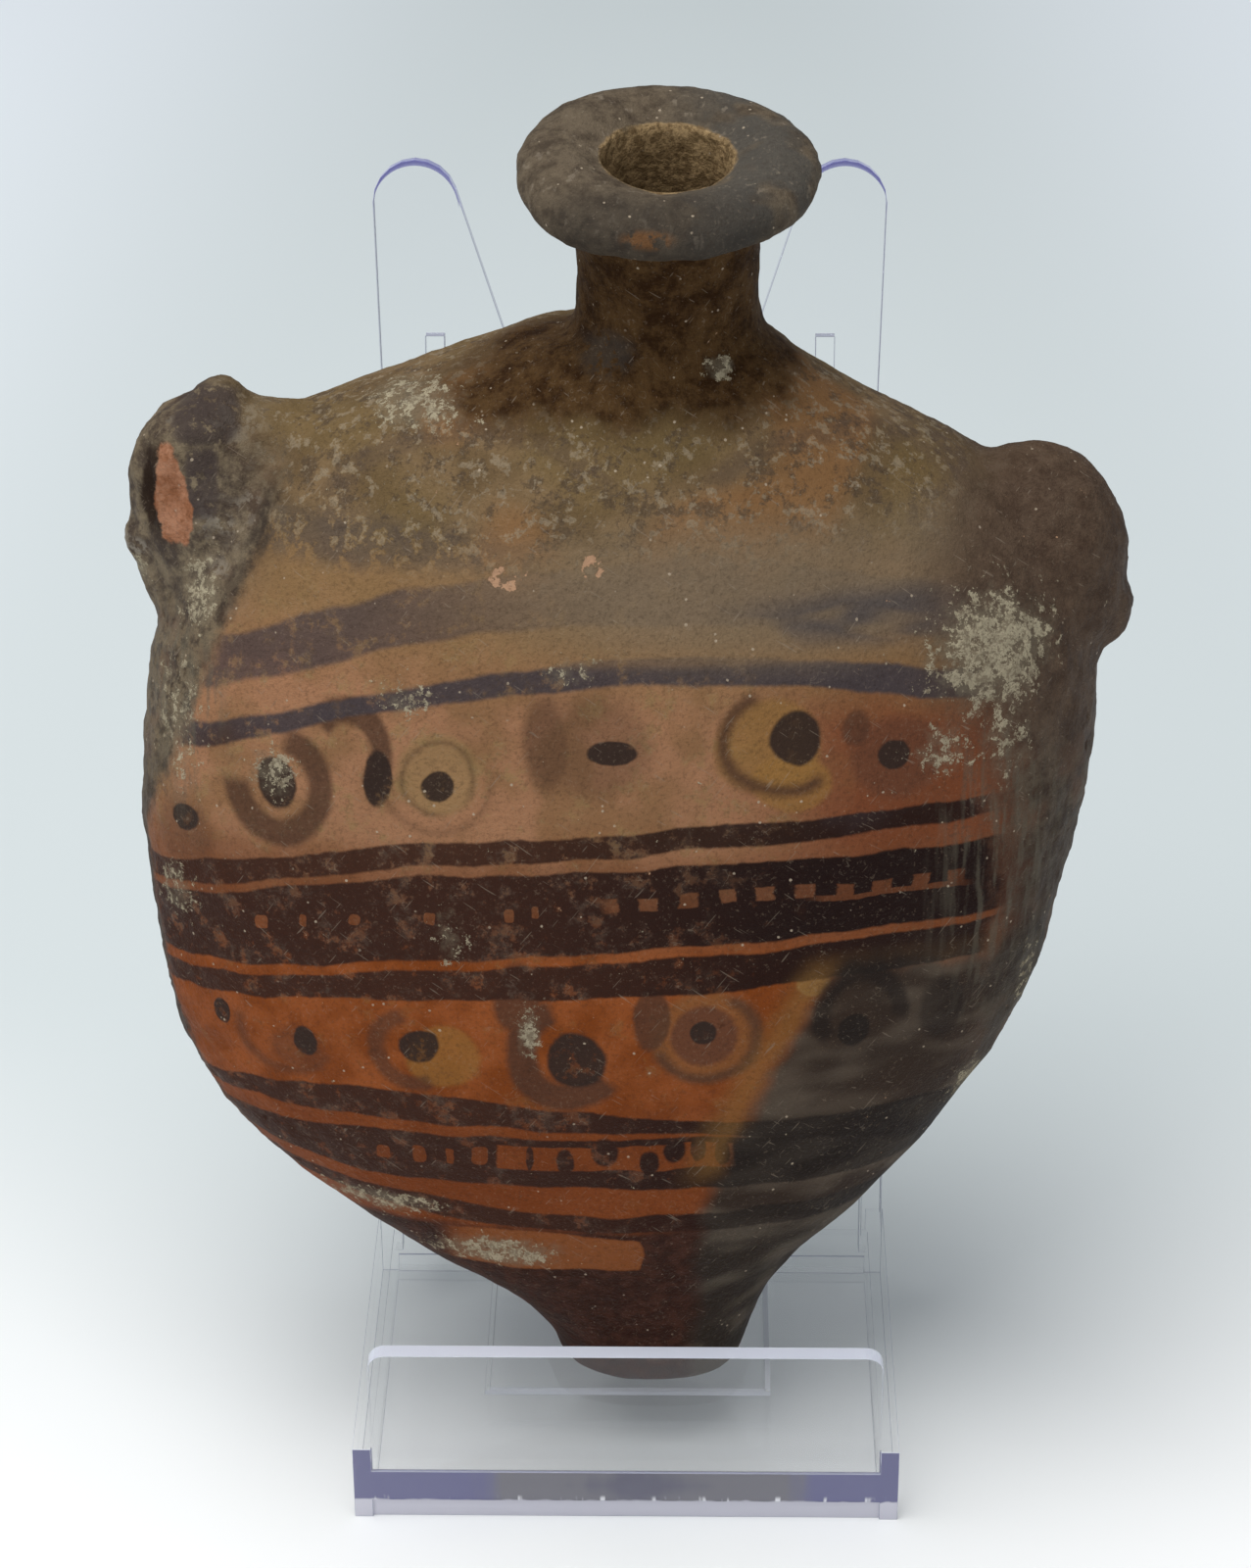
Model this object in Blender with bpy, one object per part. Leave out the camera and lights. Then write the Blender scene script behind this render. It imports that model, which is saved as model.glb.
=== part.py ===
"""A hand-made, painted pottery flask that leans in its clear moulded easel.

The flask is one hollow solid: a flat, lens-shaped belly with a rounded lug at each
shoulder, a knob foot below, and a short neck with a thick rim that tips forward.
The easel is one moulding: a shallow tray with a front lip, a leaning back plate with
a notch between two ears, and a rib behind it that reaches back along the table.
"""

import bpy
import bmesh
from math import atan, cos, hypot, pi, radians, sin
from mathutils import Matrix, Vector

MM = 0.001

# Flask, measured along its own axis from the end of the foot
FLASK_BODY_HEIGHT = 160 * MM
BELLY_WIDTH = 136.5 * MM
BELLY_DEPTH = 66 * MM
FLASK_WALL = 5 * MM
FOOT_SOLID_HEIGHT = 14 * MM
FLASK_LEAN = radians(10)
SECTION_FULLNESS = 2.25

# Neck and rim, measured along the neck's own axis from where it enters the body
NECK_TIP_FORWARD = radians(20)
NECK_SHARE = 0.962
NECK_OFFSET = 6.1 * MM
NECK_RADIUS = 12.5 * MM
NECK_ROOT_FLARE = 1.7 * MM
NECK_ROOT_SUNK = 3 * MM
NECK_TAPER_START = 5 * MM
NECK_TAPER_END = 11 * MM
NECK_TAPER_STEP = 0.6 * MM
NECK_TOP_STEP = 0.4 * MM
NECK_SUNK = 14 * MM
RIM_RADIUS = 20.3 * MM
RIM_THICKNESS = 7.6 * MM
RIM_ROLL_OUT = 1.9 * MM
RIM_ROLL_START = radians(-75)
RIM_ROLL_END = radians(115)
RIM_STEPS = 9
RIM_TOP = 34.2 * MM
BORE_RADIUS = 8.7 * MM
MOUTH_FLARE = 2.6 * MM
MOUTH_FLARE_DEPTH = 4 * MM

# Lugs, one at each shoulder: half sizes across, in depth and in height, and how far
# the lug's middle is below the top of the body
LEFT_LUG_SIZE = Vector((13.5, 12.5, 18)) * MM
LEFT_LUG_DROP = 27 * MM
LEFT_LUG_OUT = -1.6 * MM
LEFT_LUG_TURN = radians(19)
RIGHT_LUG_SIZE = Vector((14, 14, 18.5)) * MM
RIGHT_LUG_DROP = 34.5 * MM
RIGHT_LUG_OUT = -7.2 * MM
RIGHT_LUG_TURN = radians(4)

# Easel tray
TRAY_WIDTH = 80 * MM
TRAY_LENGTH = 60 * MM
TRAY_FLOOR_TOP = 8.5 * MM
TRAY_FLOOR_THICKNESS = 5.3 * MM
RAIL_WIDTH = 2.7 * MM
RAIL_HEIGHT = 12.6 * MM
LIP_HEIGHT = 29.5 * MM
LIP_THICKNESS = 2.6 * MM
LIP_CORNER_RADIUS = 2.5 * MM
LIP_SETBACK = 0.4 * MM
BEAD_SETBACK = 18 * MM
BEAD_SIDE_STEP = 18.5 * MM
BEAD_REAR_STEP = 4 * MM
BEAD_SIZE = 0.8 * MM

# Easel back plate, measured up its own slope from the tray's floor
PLATE_LEAN = radians(12)
PLATE_THICKNESS = 2.4 * MM
PLATE_LENGTH = 172 * MM
PLATE_SIDE_STEP = 3.4 * MM
EAR_FLARE = 1.1 * MM
EAR_FLARE_LENGTH = 40 * MM
PLATE_SET_IN = 1.6 * MM
EAR_RADIUS = 6.2 * MM
NOTCH_SLOPE = 0.335
NOTCH_BOTTOM_RADIUS = 5 * MM
SLOT_INSET = 7.8 * MM
SLOT_WIDTH = 2.7 * MM
SLOT_LENGTH = 28 * MM
SLOT_BELOW_EARS = 26 * MM
FLANGE_LENGTH = 62 * MM
FLANGE_DEPTH = 3 * MM
FLANGE_INSET = 0.5 * MM
FLANGE_BACK_STEP = 0.2 * MM
PLATE_FOOT = -4 * MM
PLATE_WIDTH = TRAY_WIDTH - 2 * PLATE_SIDE_STEP
EAR_FLARE_START = PLATE_LENGTH - EAR_FLARE_LENGTH

# Rear rib, which props the plate
RIB_THICKNESS = 3 * MM
RIB_TOP = 92 * MM
RIB_REACH = 50 * MM
RIB_HEEL = 3 * MM
RIB_FLANGE_SHORT = 4 * MM
RIB_FLANGE_WIDTH = 16 * MM
RIB_FLANGE_THICKNESS = 2.4 * MM
TOE_LENGTH = 8 * MM
TOE_WIDTH = 30 * MM
TOE_HEIGHT = 2.6 * MM

# The flask stands this far to the right of the easel's middle
FLASK_OFFSET = 2.2 * MM

CLEARANCE = 0.3 * MM
SINK = 0.6 * MM
CUT_OVER = 1 * MM
SEGMENTS_ROUND_BELLY = 44
SEGMENTS_ROUND_NECK = 36
BELLY_RINGS = 40
FOOT_RING = 0.009
CAVITY_RINGS = 20
CAVITY_SEGMENTS = 32
CAVITY_FLOOR = 0.55
CAVITY_FLOOR_DROP = 2 * MM
LUG_SEGMENTS = 20
LUG_RINGS = 12
LIP_ARC_STEPS = 5
EAR_ARC_STEPS = 9
NOTCH_ARC_STEPS = 4

# Belly stations from the foot to the neck: height as a share of the body's height, then
# the reach to the left and right as shares of the belly's half width, and the half depth
# as a share of the belly's half depth
BELLY_STATIONS = (
    (0.000, 0.150, 0.165, 0.300),
    (0.010, 0.185, 0.200, 0.370),
    (0.045, 0.212, 0.240, 0.430),
    (0.075, 0.265, 0.270, 0.475),
    (0.106, 0.350, 0.310, 0.525),
    (0.137, 0.490, 0.372, 0.580),
    (0.174, 0.640, 0.466, 0.640),
    (0.217, 0.770, 0.582, 0.705),
    (0.273, 0.888, 0.690, 0.790),
    (0.342, 0.976, 0.800, 0.870),
    (0.435, 1.028, 0.893, 0.950),
    (0.560, 1.050, 0.943, 1.000),
    (0.672, 1.034, 0.951, 0.985),
    (0.759, 0.983, 0.925, 0.925),
    (0.825, 0.890, 0.842, 0.830),
    (0.880, 0.800, 0.700, 0.720),
    (0.916, 0.710, 0.560, 0.635),
    (0.945, 0.560, 0.430, 0.560),
    (0.975, 0.345, 0.318, 0.480),
    (1.000, 0.195, 0.243, 0.410),
)


def remove_old_objects():
    for item in list(bpy.data.objects):
        bpy.data.objects.remove(item, do_unlink=True)


def make_material(name, colour, roughness, transmission=0.0):
    material = bpy.data.materials.new(name)
    material.use_nodes = True
    shader = material.node_tree.nodes["Principled BSDF"]
    shader.inputs["Base Color"].default_value = (*colour, 1.0)
    shader.inputs["Roughness"].default_value = roughness
    shader.inputs["Metallic"].default_value = 0.0
    shader.inputs["Transmission Weight"].default_value = transmission
    return material


def object_from(name, mesh_builder):
    """Closes a bmesh into a named object with its faces pointing out."""
    bmesh.ops.recalc_face_normals(mesh_builder, faces=mesh_builder.faces)
    mesh = bpy.data.meshes.new(name)
    mesh_builder.to_mesh(mesh)
    mesh_builder.free()
    item = bpy.data.objects.new(name, mesh)
    bpy.context.collection.objects.link(item)
    return item


def combine(target, tool, operation):
    """Joins a tool solid to the target, or cuts it away, and removes the tool."""
    cut = target.modifiers.new(operation.title(), "BOOLEAN")
    cut.operation = operation
    cut.solver = "EXACT"
    cut.object = tool
    bpy.context.view_layer.update()
    evaluated = target.evaluated_get(bpy.context.evaluated_depsgraph_get())
    result = bpy.data.meshes.new_from_object(evaluated)
    target.modifiers.clear()
    target.data = result
    bpy.data.objects.remove(tool, do_unlink=True)


def smooth_row(stations, height):
    """Reads the station table at any height through a smooth curve."""
    last = len(stations) - 1
    index = max(i for i in range(last) if stations[i][0] <= height or i == 0)
    rows = [stations[min(max(index + step, 0), last)] for step in (-1, 0, 1, 2)]
    before, low, high, after = rows
    span = high[0] - low[0]
    t = (height - low[0]) / span
    values = []
    for column in range(1, len(low)):
        slope_low = (high[column] - before[column]) / (high[0] - before[0])
        slope_high = (after[column] - low[column]) / (after[0] - low[0])
        values.append(
            low[column] * (2 * t ** 3 - 3 * t ** 2 + 1)
            + high[column] * (3 * t ** 2 - 2 * t ** 3)
            + slope_low * span * (t ** 3 - 2 * t ** 2 + t)
            + slope_high * span * (t ** 3 - t ** 2)
        )
    return values


def belly_reach(share):
    """Left reach, right reach and half depth of the outer skin at a share of the height."""
    left, right, depth = smooth_row(BELLY_STATIONS, share)
    return left * BELLY_WIDTH / 2, right * BELLY_WIDTH / 2, depth * BELLY_DEPTH / 2


def cavity_reach(share):
    """The same for the inner skin, one wall inside the outer one."""
    step = 0.01
    here = belly_reach(share)
    above = belly_reach(min(share + step, 1.0))
    below = belly_reach(share - step)
    run = (min(share + step, 1.0) - share + step) * FLASK_BODY_HEIGHT
    return [
        reach - FLASK_WALL * hypot(1, (high - low) / run)
        for reach, high, low in zip(here, above, below)
    ]


def section_point(reach, height, turn):
    """A point on a rounded, lens-like section of the belly."""
    left, right, depth = reach
    middle = (right - left) / 2
    half_width = (right + left) / 2
    power = 2 / SECTION_FULLNESS
    across = abs(cos(turn)) ** power * (1 if cos(turn) >= 0 else -1)
    deep = abs(sin(turn)) ** power * (1 if sin(turn) >= 0 else -1)
    return Vector((middle + half_width * across, depth * deep, height))


def loft(name, sections, segments):
    """Skins a stack of sections, each a reach and a height, and caps both ends."""
    builder = bmesh.new()
    rings = []
    for reach, height in sections:
        turns = [2 * pi * step / segments for step in range(segments)]
        rings.append([builder.verts.new(section_point(reach, height, turn)) for turn in turns])
    for lower, upper in zip(rings, rings[1:]):
        for step in range(segments):
            after = (step + 1) % segments
            builder.faces.new((lower[step], lower[after], upper[after], upper[step]))
    builder.faces.new(list(reversed(rings[0])))
    builder.faces.new(rings[-1])
    return object_from(name, builder)


def lathe(name, profile, segments):
    """Turns a profile of radius and height pairs into a closed solid about Z."""
    builder = bmesh.new()
    rings = []
    for radius, height in profile:
        turns = [2 * pi * step / segments for step in range(segments)]
        points = [Vector((radius * cos(turn), radius * sin(turn), height)) for turn in turns]
        rings.append([builder.verts.new(point) for point in points])
    for lower, upper in zip(rings, rings[1:]):
        for step in range(segments):
            after = (step + 1) % segments
            builder.faces.new((lower[step], lower[after], upper[after], upper[step]))
    builder.faces.new(list(reversed(rings[0])))
    builder.faces.new(rings[-1])
    return object_from(name, builder)


def extrude_outline(name, outline, start, depth):
    """A flat outline in X and Z, thickened along Y from start."""
    builder = bmesh.new()
    corners = [builder.verts.new((x, start, z)) for x, z in outline]
    face = builder.faces.new(corners)
    grown = bmesh.ops.extrude_face_region(builder, geom=[face])
    moved = [item for item in grown["geom"] if isinstance(item, bmesh.types.BMVert)]
    bmesh.ops.translate(builder, vec=(0, depth, 0), verts=moved)
    return object_from(name, builder)


def block(name, low, high):
    outline = ((low[0], low[2]), (high[0], low[2]), (high[0], high[2]), (low[0], high[2]))
    return extrude_outline(name, outline, low[1], high[1] - low[1])


def arc(centre, radius, start, end, steps):
    """Points along an arc in X and Z, angles in radians from +X."""
    turns = [start + (end - start) * step / steps for step in range(steps + 1)]
    return [(centre[0] + radius * cos(turn), centre[1] + radius * sin(turn)) for turn in turns]


def neck_axis():
    """Where the neck's axis enters the body, and its turn about X."""
    left, right = belly_reach(NECK_SHARE)[:2]
    root = Vector(((right - left) / 2 + NECK_OFFSET, 0, NECK_SHARE * FLASK_BODY_HEIGHT))
    return Matrix.Translation(root) @ Matrix.Rotation(NECK_TIP_FORWARD, 4, "X")


def make_neck_and_rim():
    rim_half = RIM_THICKNESS / 2
    rim_middle = RIM_TOP - rim_half
    rim_ring = NECK_RADIUS + RIM_ROLL_OUT
    rim_reach = RIM_RADIUS - rim_ring
    profile = [
        (NECK_RADIUS, -NECK_SUNK),
        (NECK_RADIUS + NECK_ROOT_FLARE, -NECK_ROOT_SUNK),
        (NECK_RADIUS + NECK_TAPER_STEP, NECK_TAPER_START),
        (NECK_RADIUS, NECK_TAPER_END),
        (NECK_RADIUS + NECK_TOP_STEP, rim_middle - rim_half),
    ]
    for step in range(RIM_STEPS + 1):
        turn = RIM_ROLL_START + (RIM_ROLL_END - RIM_ROLL_START) * step / RIM_STEPS
        profile.append((rim_ring + rim_reach * cos(turn), rim_middle + rim_half * sin(turn)))
    neck = lathe("neck", profile, SEGMENTS_ROUND_NECK)
    neck.data.transform(neck_axis())
    return neck


def make_bore():
    """The cutter for the neck's bore, flared at the mouth and open into the cavity."""
    half_flare = MOUTH_FLARE_DEPTH / 2
    profile = (
        (BORE_RADIUS, -NECK_SUNK - MOUTH_FLARE_DEPTH),
        (BORE_RADIUS, RIM_TOP - MOUTH_FLARE_DEPTH),
        (BORE_RADIUS + MOUTH_FLARE * 0.4, RIM_TOP - half_flare),
        (BORE_RADIUS + MOUTH_FLARE * 1.6, RIM_TOP + half_flare),
    )
    bore = lathe("bore", profile, SEGMENTS_ROUND_NECK)
    bore.data.transform(neck_axis())
    return bore


def make_lug(name, side, size, drop, out, turn):
    """A rounded lump on the shoulder; side is -1 for the left lug and 1 for the right."""
    height = FLASK_BODY_HEIGHT - drop
    left, right = belly_reach(height / FLASK_BODY_HEIGHT)[:2]
    edge = right if side > 0 else left
    builder = bmesh.new()
    bmesh.ops.create_uvsphere(
        builder, u_segments=LUG_SEGMENTS, v_segments=LUG_RINGS, radius=1
    )
    place = Matrix.Translation((side * (edge + out), 0, height))
    place @= Matrix.Rotation(side * turn, 4, "Y") @ Matrix.Diagonal((*size, 1))
    bmesh.ops.transform(builder, matrix=place, verts=builder.verts)
    return object_from(name, builder)


def make_cavity():
    """The hollow inside: the belly's form drawn in by one wall, with a rounded floor."""
    low = FOOT_SOLID_HEIGHT / FLASK_BODY_HEIGHT
    sections = []
    for ring in range(CAVITY_RINGS + 1):
        share = low + (NECK_SHARE - low) * (0.5 - 0.5 * cos(pi * ring / CAVITY_RINGS))
        sections.append((cavity_reach(share), share * FLASK_BODY_HEIGHT))
    floor_reach = [reach * CAVITY_FLOOR for reach in sections[0][0]]
    sections.insert(0, (floor_reach, FOOT_SOLID_HEIGHT - CAVITY_FLOOR_DROP))
    return loft("cavity", sections, CAVITY_SEGMENTS)


def make_flask():
    shares = [ring / BELLY_RINGS for ring in range(BELLY_RINGS + 1)]
    shares[1:1] = [FOOT_RING]
    sections = [(belly_reach(share), share * FLASK_BODY_HEIGHT) for share in shares]
    flask = loft("painted_flask", sections, SEGMENTS_ROUND_BELLY)
    lugs = (
        ("left_lug", -1, LEFT_LUG_SIZE, LEFT_LUG_DROP, LEFT_LUG_OUT, LEFT_LUG_TURN),
        ("right_lug", 1, RIGHT_LUG_SIZE, RIGHT_LUG_DROP, RIGHT_LUG_OUT, RIGHT_LUG_TURN),
    )
    for lug in lugs:
        combine(flask, make_lug(*lug), "UNION")
    combine(flask, make_neck_and_rim(), "UNION")
    hollow = make_cavity()
    combine(hollow, make_bore(), "UNION")
    combine(flask, hollow, "DIFFERENCE")
    flask.data.materials.clear()
    flask.data.materials.append(make_material("painted_pottery", (0.30, 0.14, 0.085), 0.72))
    flask.data.shade_smooth()
    flask.data.set_sharp_from_angle(angle=radians(50))
    return flask


def tray_outline():
    """The tray's section across its width: a floor between two rails, hollow below."""
    outer = TRAY_WIDTH / 2
    inner = outer - RAIL_WIDTH
    under = TRAY_FLOOR_TOP - TRAY_FLOOR_THICKNESS
    half = [(inner, TRAY_FLOOR_TOP), (inner, RAIL_HEIGHT), (outer, RAIL_HEIGHT)]
    half += [(outer, 0), (inner, 0), (inner, under)]
    return half + [(-x, z) for x, z in reversed(half)]


def lip_outline():
    """The front wall: full width below the rails' tops, with round upper corners."""
    inner = TRAY_WIDTH / 2 - RAIL_WIDTH
    low = TRAY_WIDTH / 2 - RAIL_WIDTH / 2
    centre = (inner - LIP_CORNER_RADIUS, LIP_HEIGHT - LIP_CORNER_RADIUS)
    half = [(low, 0), (low, RAIL_HEIGHT - CUT_OVER), (inner, RAIL_HEIGHT - CUT_OVER)]
    half += arc(centre, LIP_CORNER_RADIUS, 0, pi / 2, LIP_ARC_STEPS)
    return half + [(-x, z) for x, z in reversed(half)]


def plate_half_width(up):
    """Half the plate's width at a distance up its slope; the ears lean out a little."""
    share = (up - EAR_FLARE_START) / (PLATE_LENGTH - EAR_FLARE_START)
    return PLATE_WIDTH / 2 + EAR_FLARE * max(share, 0)


def notch_half_width(up):
    """Half the notch's width, before its bottom is rounded."""
    ear_centre = PLATE_LENGTH - EAR_RADIUS
    edge_at_ear = plate_half_width(ear_centre) - 2 * EAR_RADIUS
    return edge_at_ear - NOTCH_SLOPE * (ear_centre - up)


def plate_outline():
    """The plate with its two round ears and the round-bottomed notch between them."""
    slope = atan(NOTCH_SLOPE)
    ear_up = PLATE_LENGTH - EAR_RADIUS
    ear_centre = (plate_half_width(ear_up) - EAR_RADIUS, ear_up)
    apex = ear_up - notch_half_width(ear_up) / NOTCH_SLOPE
    notch_centre = (0, apex + NOTCH_BOTTOM_RADIUS / sin(slope))
    half = [(PLATE_WIDTH / 2, PLATE_FOOT), (PLATE_WIDTH / 2, EAR_FLARE_START)]
    half += arc(ear_centre, EAR_RADIUS, 0, pi - slope, EAR_ARC_STEPS)
    half += arc(notch_centre, NOTCH_BOTTOM_RADIUS, -slope, -pi / 2, NOTCH_ARC_STEPS)[:-1]
    lowest = [(0, notch_centre[1] - NOTCH_BOTTOM_RADIUS)]
    return half + lowest + [(-x, z) for x, z in reversed(half)]


def plate_place():
    """Leans the plate back about the tray's rear edge, at the floor's top."""
    back = TRAY_LENGTH / 2 - PLATE_SET_IN - PLATE_THICKNESS
    hinge = Matrix.Translation((0, back, TRAY_FLOOR_TOP))
    return hinge @ Matrix.Rotation(-PLATE_LEAN, 4, "X")


def make_plate():
    plate = extrude_outline("plate", plate_outline(), 0, PLATE_THICKNESS)
    slot_top = PLATE_LENGTH - SLOT_BELOW_EARS
    for side in (-1, 1):
        middle = side * (PLATE_WIDTH / 2 - SLOT_INSET)
        low = (middle - SLOT_WIDTH / 2, -CUT_OVER, slot_top - SLOT_LENGTH)
        high = (middle + SLOT_WIDTH / 2, PLATE_THICKNESS + CUT_OVER, slot_top)
        combine(plate, block("slot", low, high), "DIFFERENCE")
    for side in (-1, 1):
        outer = side * (TRAY_WIDTH / 2 - FLANGE_INSET)
        inner = side * (plate_half_width(0) - SINK)
        low = (min(outer, inner), -FLANGE_DEPTH, 0)
        high = (max(outer, inner), PLATE_THICKNESS - FLANGE_BACK_STEP, FLANGE_LENGTH)
        combine(plate, block("flange", low, high), "UNION")
    plate.data.transform(plate_place())
    return plate


def make_rib():
    """The upright rib behind the plate with a flange along its sloping rear edge."""
    place = plate_place()
    top = place @ Vector((0, PLATE_THICKNESS / 2, RIB_TOP))
    foot_front = place @ Vector((0, PLATE_THICKNESS / 2, 0))
    foot_back = TRAY_LENGTH / 2 + RIB_REACH
    outline = [(foot_front.y, 0), (foot_back, 0), (foot_back, RIB_HEEL)]
    outline += [(top.y + RIB_HEEL, top.z), (top.y, top.z)]
    rib = extrude_outline("rib", outline, -RIB_THICKNESS / 2, RIB_THICKNESS)
    run = foot_back - top.y - RIB_HEEL
    rise = top.z - RIB_HEEL
    half = RIB_FLANGE_WIDTH / 2
    flange_top = (RIB_FLANGE_THICKNESS, half, hypot(run, rise) - RIB_FLANGE_SHORT)
    flange = block("rib_flange", (0, -half, 0), flange_top)
    foot = Matrix.Translation((foot_back - RIB_FLANGE_THICKNESS, 0, 0))
    flange.data.transform(foot @ Matrix.Rotation(-atan(run / rise), 4, "Y"))
    combine(rib, flange, "UNION")
    low = (foot_back - TOE_LENGTH, -TOE_WIDTH / 2, 0)
    high = (foot_back + SINK, TOE_WIDTH / 2, TOE_HEIGHT)
    combine(rib, block("toe", low, high), "UNION")
    rib.data.transform(Matrix.Rotation(pi / 2, 4, "Z"))
    return rib


def make_tray():
    front = -TRAY_LENGTH / 2
    tray = extrude_outline("tray", tray_outline(), front, TRAY_LENGTH)
    lip = extrude_outline("lip", lip_outline(), front + LIP_SETBACK, LIP_THICKNESS)
    combine(tray, lip, "UNION")
    inner = TRAY_WIDTH / 2 - RAIL_WIDTH + SINK
    rear = TRAY_LENGTH / 2
    low = (-inner, rear - RAIL_WIDTH, 0)
    high = (inner, rear - CLEARANCE, TRAY_FLOOR_TOP - SINK)
    combine(tray, block("rear_skirt", low, high), "UNION")
    bead_front = front + BEAD_SETBACK
    bead_top = TRAY_FLOOR_TOP + BEAD_SIZE
    bead_back = rear - BEAD_REAR_STEP
    half = TRAY_WIDTH / 2 - BEAD_SIDE_STEP
    low = (-half, bead_front, TRAY_FLOOR_TOP - SINK)
    bead = block("bead", low, (half, bead_back, bead_top))
    inside = half - BEAD_SIZE
    low = (-inside, bead_front + BEAD_SIZE, TRAY_FLOOR_TOP - 2 * SINK)
    high = (inside, bead_back - BEAD_SIZE, bead_top + SINK)
    combine(bead, block("bead_inside", low, high), "DIFFERENCE")
    combine(tray, bead, "UNION")
    return tray


def make_easel():
    easel = make_tray()
    easel.name = "clear_easel"
    combine(easel, make_plate(), "UNION")
    combine(easel, make_rib(), "UNION")
    easel.data.materials.clear()
    easel.data.materials.append(make_material("clear_plastic", (0.88, 0.90, 0.97), 0.08, 1.0))
    easel.data.shade_smooth()
    easel.data.set_sharp_from_angle(angle=radians(30))
    return easel


def seat_flask(flask):
    """Leans the flask back until it meets the plate, with its foot on the tray's floor."""
    flask.rotation_euler = (-FLASK_LEAN, 0, 0)
    turned = Matrix.Rotation(-FLASK_LEAN, 3, "X")
    points = [turned @ vertex.co for vertex in flask.data.vertices]
    rise = TRAY_FLOOR_TOP + CLEARANCE - min(point.z for point in points)
    plate = plate_place()
    facing = (plate.to_3x3() @ Vector((0, 1, 0))).normalized()
    onto = plate.translation
    nearest = max((point + Vector((0, 0, rise)) - onto).dot(facing) for point in points)
    slide = -(nearest + CLEARANCE) / facing.y
    flask.location = (FLASK_OFFSET, slide, rise)


def centre_on_origin(pieces):
    """Hangs the pieces from one empty, with the middle of their underside at the origin."""
    bpy.context.view_layer.update()
    corners = [piece.matrix_world @ vertex.co for piece in pieces for vertex in piece.data.vertices]
    low = Vector([min(corner[axis] for corner in corners) for axis in range(3)])
    high = Vector([max(corner[axis] for corner in corners) for axis in range(3)])
    middle = (low + high) / 2
    anchor = bpy.data.objects.new("flask_and_easel", None)
    bpy.context.collection.objects.link(anchor)
    anchor.location = (-middle.x, -middle.y, -low.z)
    for piece in pieces:
        piece.parent = anchor


remove_old_objects()
flask = make_flask()
easel = make_easel()
seat_flask(flask)
centre_on_origin([flask, easel])
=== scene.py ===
"""A hand-made, painted pottery flask that leans in its clear plastic easel.

The flask's skin is made at full detail from the same sections as the CAD part, and its
painting, wear and crust are laid out in millimetres along the flask's own axes. The easel
keeps the CAD part's shape, with its sharp edges broken and its cut edges tinted.
"""

from functools import reduce
from math import atan2, cos, exp, hypot, pi, radians, sin

import bmesh
import bpy
from mathutils import Matrix, Vector, noise


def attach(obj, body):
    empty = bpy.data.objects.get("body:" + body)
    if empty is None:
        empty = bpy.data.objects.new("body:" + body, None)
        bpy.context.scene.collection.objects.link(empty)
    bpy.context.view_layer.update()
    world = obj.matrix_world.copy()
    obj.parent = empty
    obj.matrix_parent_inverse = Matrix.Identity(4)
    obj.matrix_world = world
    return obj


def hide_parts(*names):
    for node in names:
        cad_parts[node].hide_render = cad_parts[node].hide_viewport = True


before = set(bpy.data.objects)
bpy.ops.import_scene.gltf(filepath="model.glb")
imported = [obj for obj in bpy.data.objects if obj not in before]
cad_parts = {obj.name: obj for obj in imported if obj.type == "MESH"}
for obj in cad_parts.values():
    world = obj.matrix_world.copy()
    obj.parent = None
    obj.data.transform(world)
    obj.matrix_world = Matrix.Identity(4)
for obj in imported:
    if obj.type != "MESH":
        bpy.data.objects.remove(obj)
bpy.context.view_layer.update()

# The easel is one clear moulding in acrylic: a shallow tray with a front lip, and behind
# it a leaning plate with two ears, propped by a rib. Its sawn and moulded edges look
# violet, because the tint adds up along the sheet, while its broad faces stay clear.

MM = 0.001
METRES_TO_MM = (1 / MM, 1 / MM, 1 / MM)
EDGE_BREAK = 0.32
STRIP_WIDTH = 0.9
MERGE_GAP = 0.01
FLAT_ANGLE = radians(1)
SHARP_ANGLE = radians(40)
TRAY_FRONT = -55.3
TRAY_MIDDLE = -0.12
LIP_BACK = -50.0
LIP_FOOT = 10.0
BAND_TOP = 8.75
BAND_FOOT = 3.5
POST_INSIDE = 37.0
POST_TOP = 12.9
BEAD_ASIDE = 32.5
BEAD_FRONT = -50.5
BEAD_BACK = 0.5
BEAD_TOP = 20.0
PLATE_LEAN = radians(12)
PLATE_FACING = Vector((0, -cos(PLATE_LEAN), sin(PLATE_LEAN)))
PLATE_HINGE = (0.7, 8.5)
PLATE_SIDES_FROM = 30.0
PLATE_FACES_FROM = 60.0
PLATE_EDGES_FROM = 75.0
RIB_ROOM = 10.0
EAR_ASIDE = 31.33
EAR_UP = 165.8
EAR_RADIUS = 6.2
CRESCENT_DROP = 0.9
PLASTIC_IOR = 1.49
FACE_ALPHA = 0.1
CLEAR_TINT = (0.93, 0.945, 0.985)
EDGE_TINT = (0.2, 0.2, 0.5)
FROST_TINT = (0.42, 0.43, 0.68)
GREY_TINT = (0.36, 0.375, 0.5)
LIP_HIGHLIGHT_TINT = (0.74, 0.77, 0.89)
BEAD_TINT = (0.66, 0.68, 0.74)
BAND_TINT = (0.105, 0.105, 0.245)
FLASK_SHADE_GREY = (0.145, 0.14, 0.17)
FLASK_SHADE_DARK = (0.055, 0.053, 0.12)
FOOT_TINT = (0.62, 0.61, 0.7)
GLINT_TINT = (0.85, 0.85, 0.9)


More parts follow.
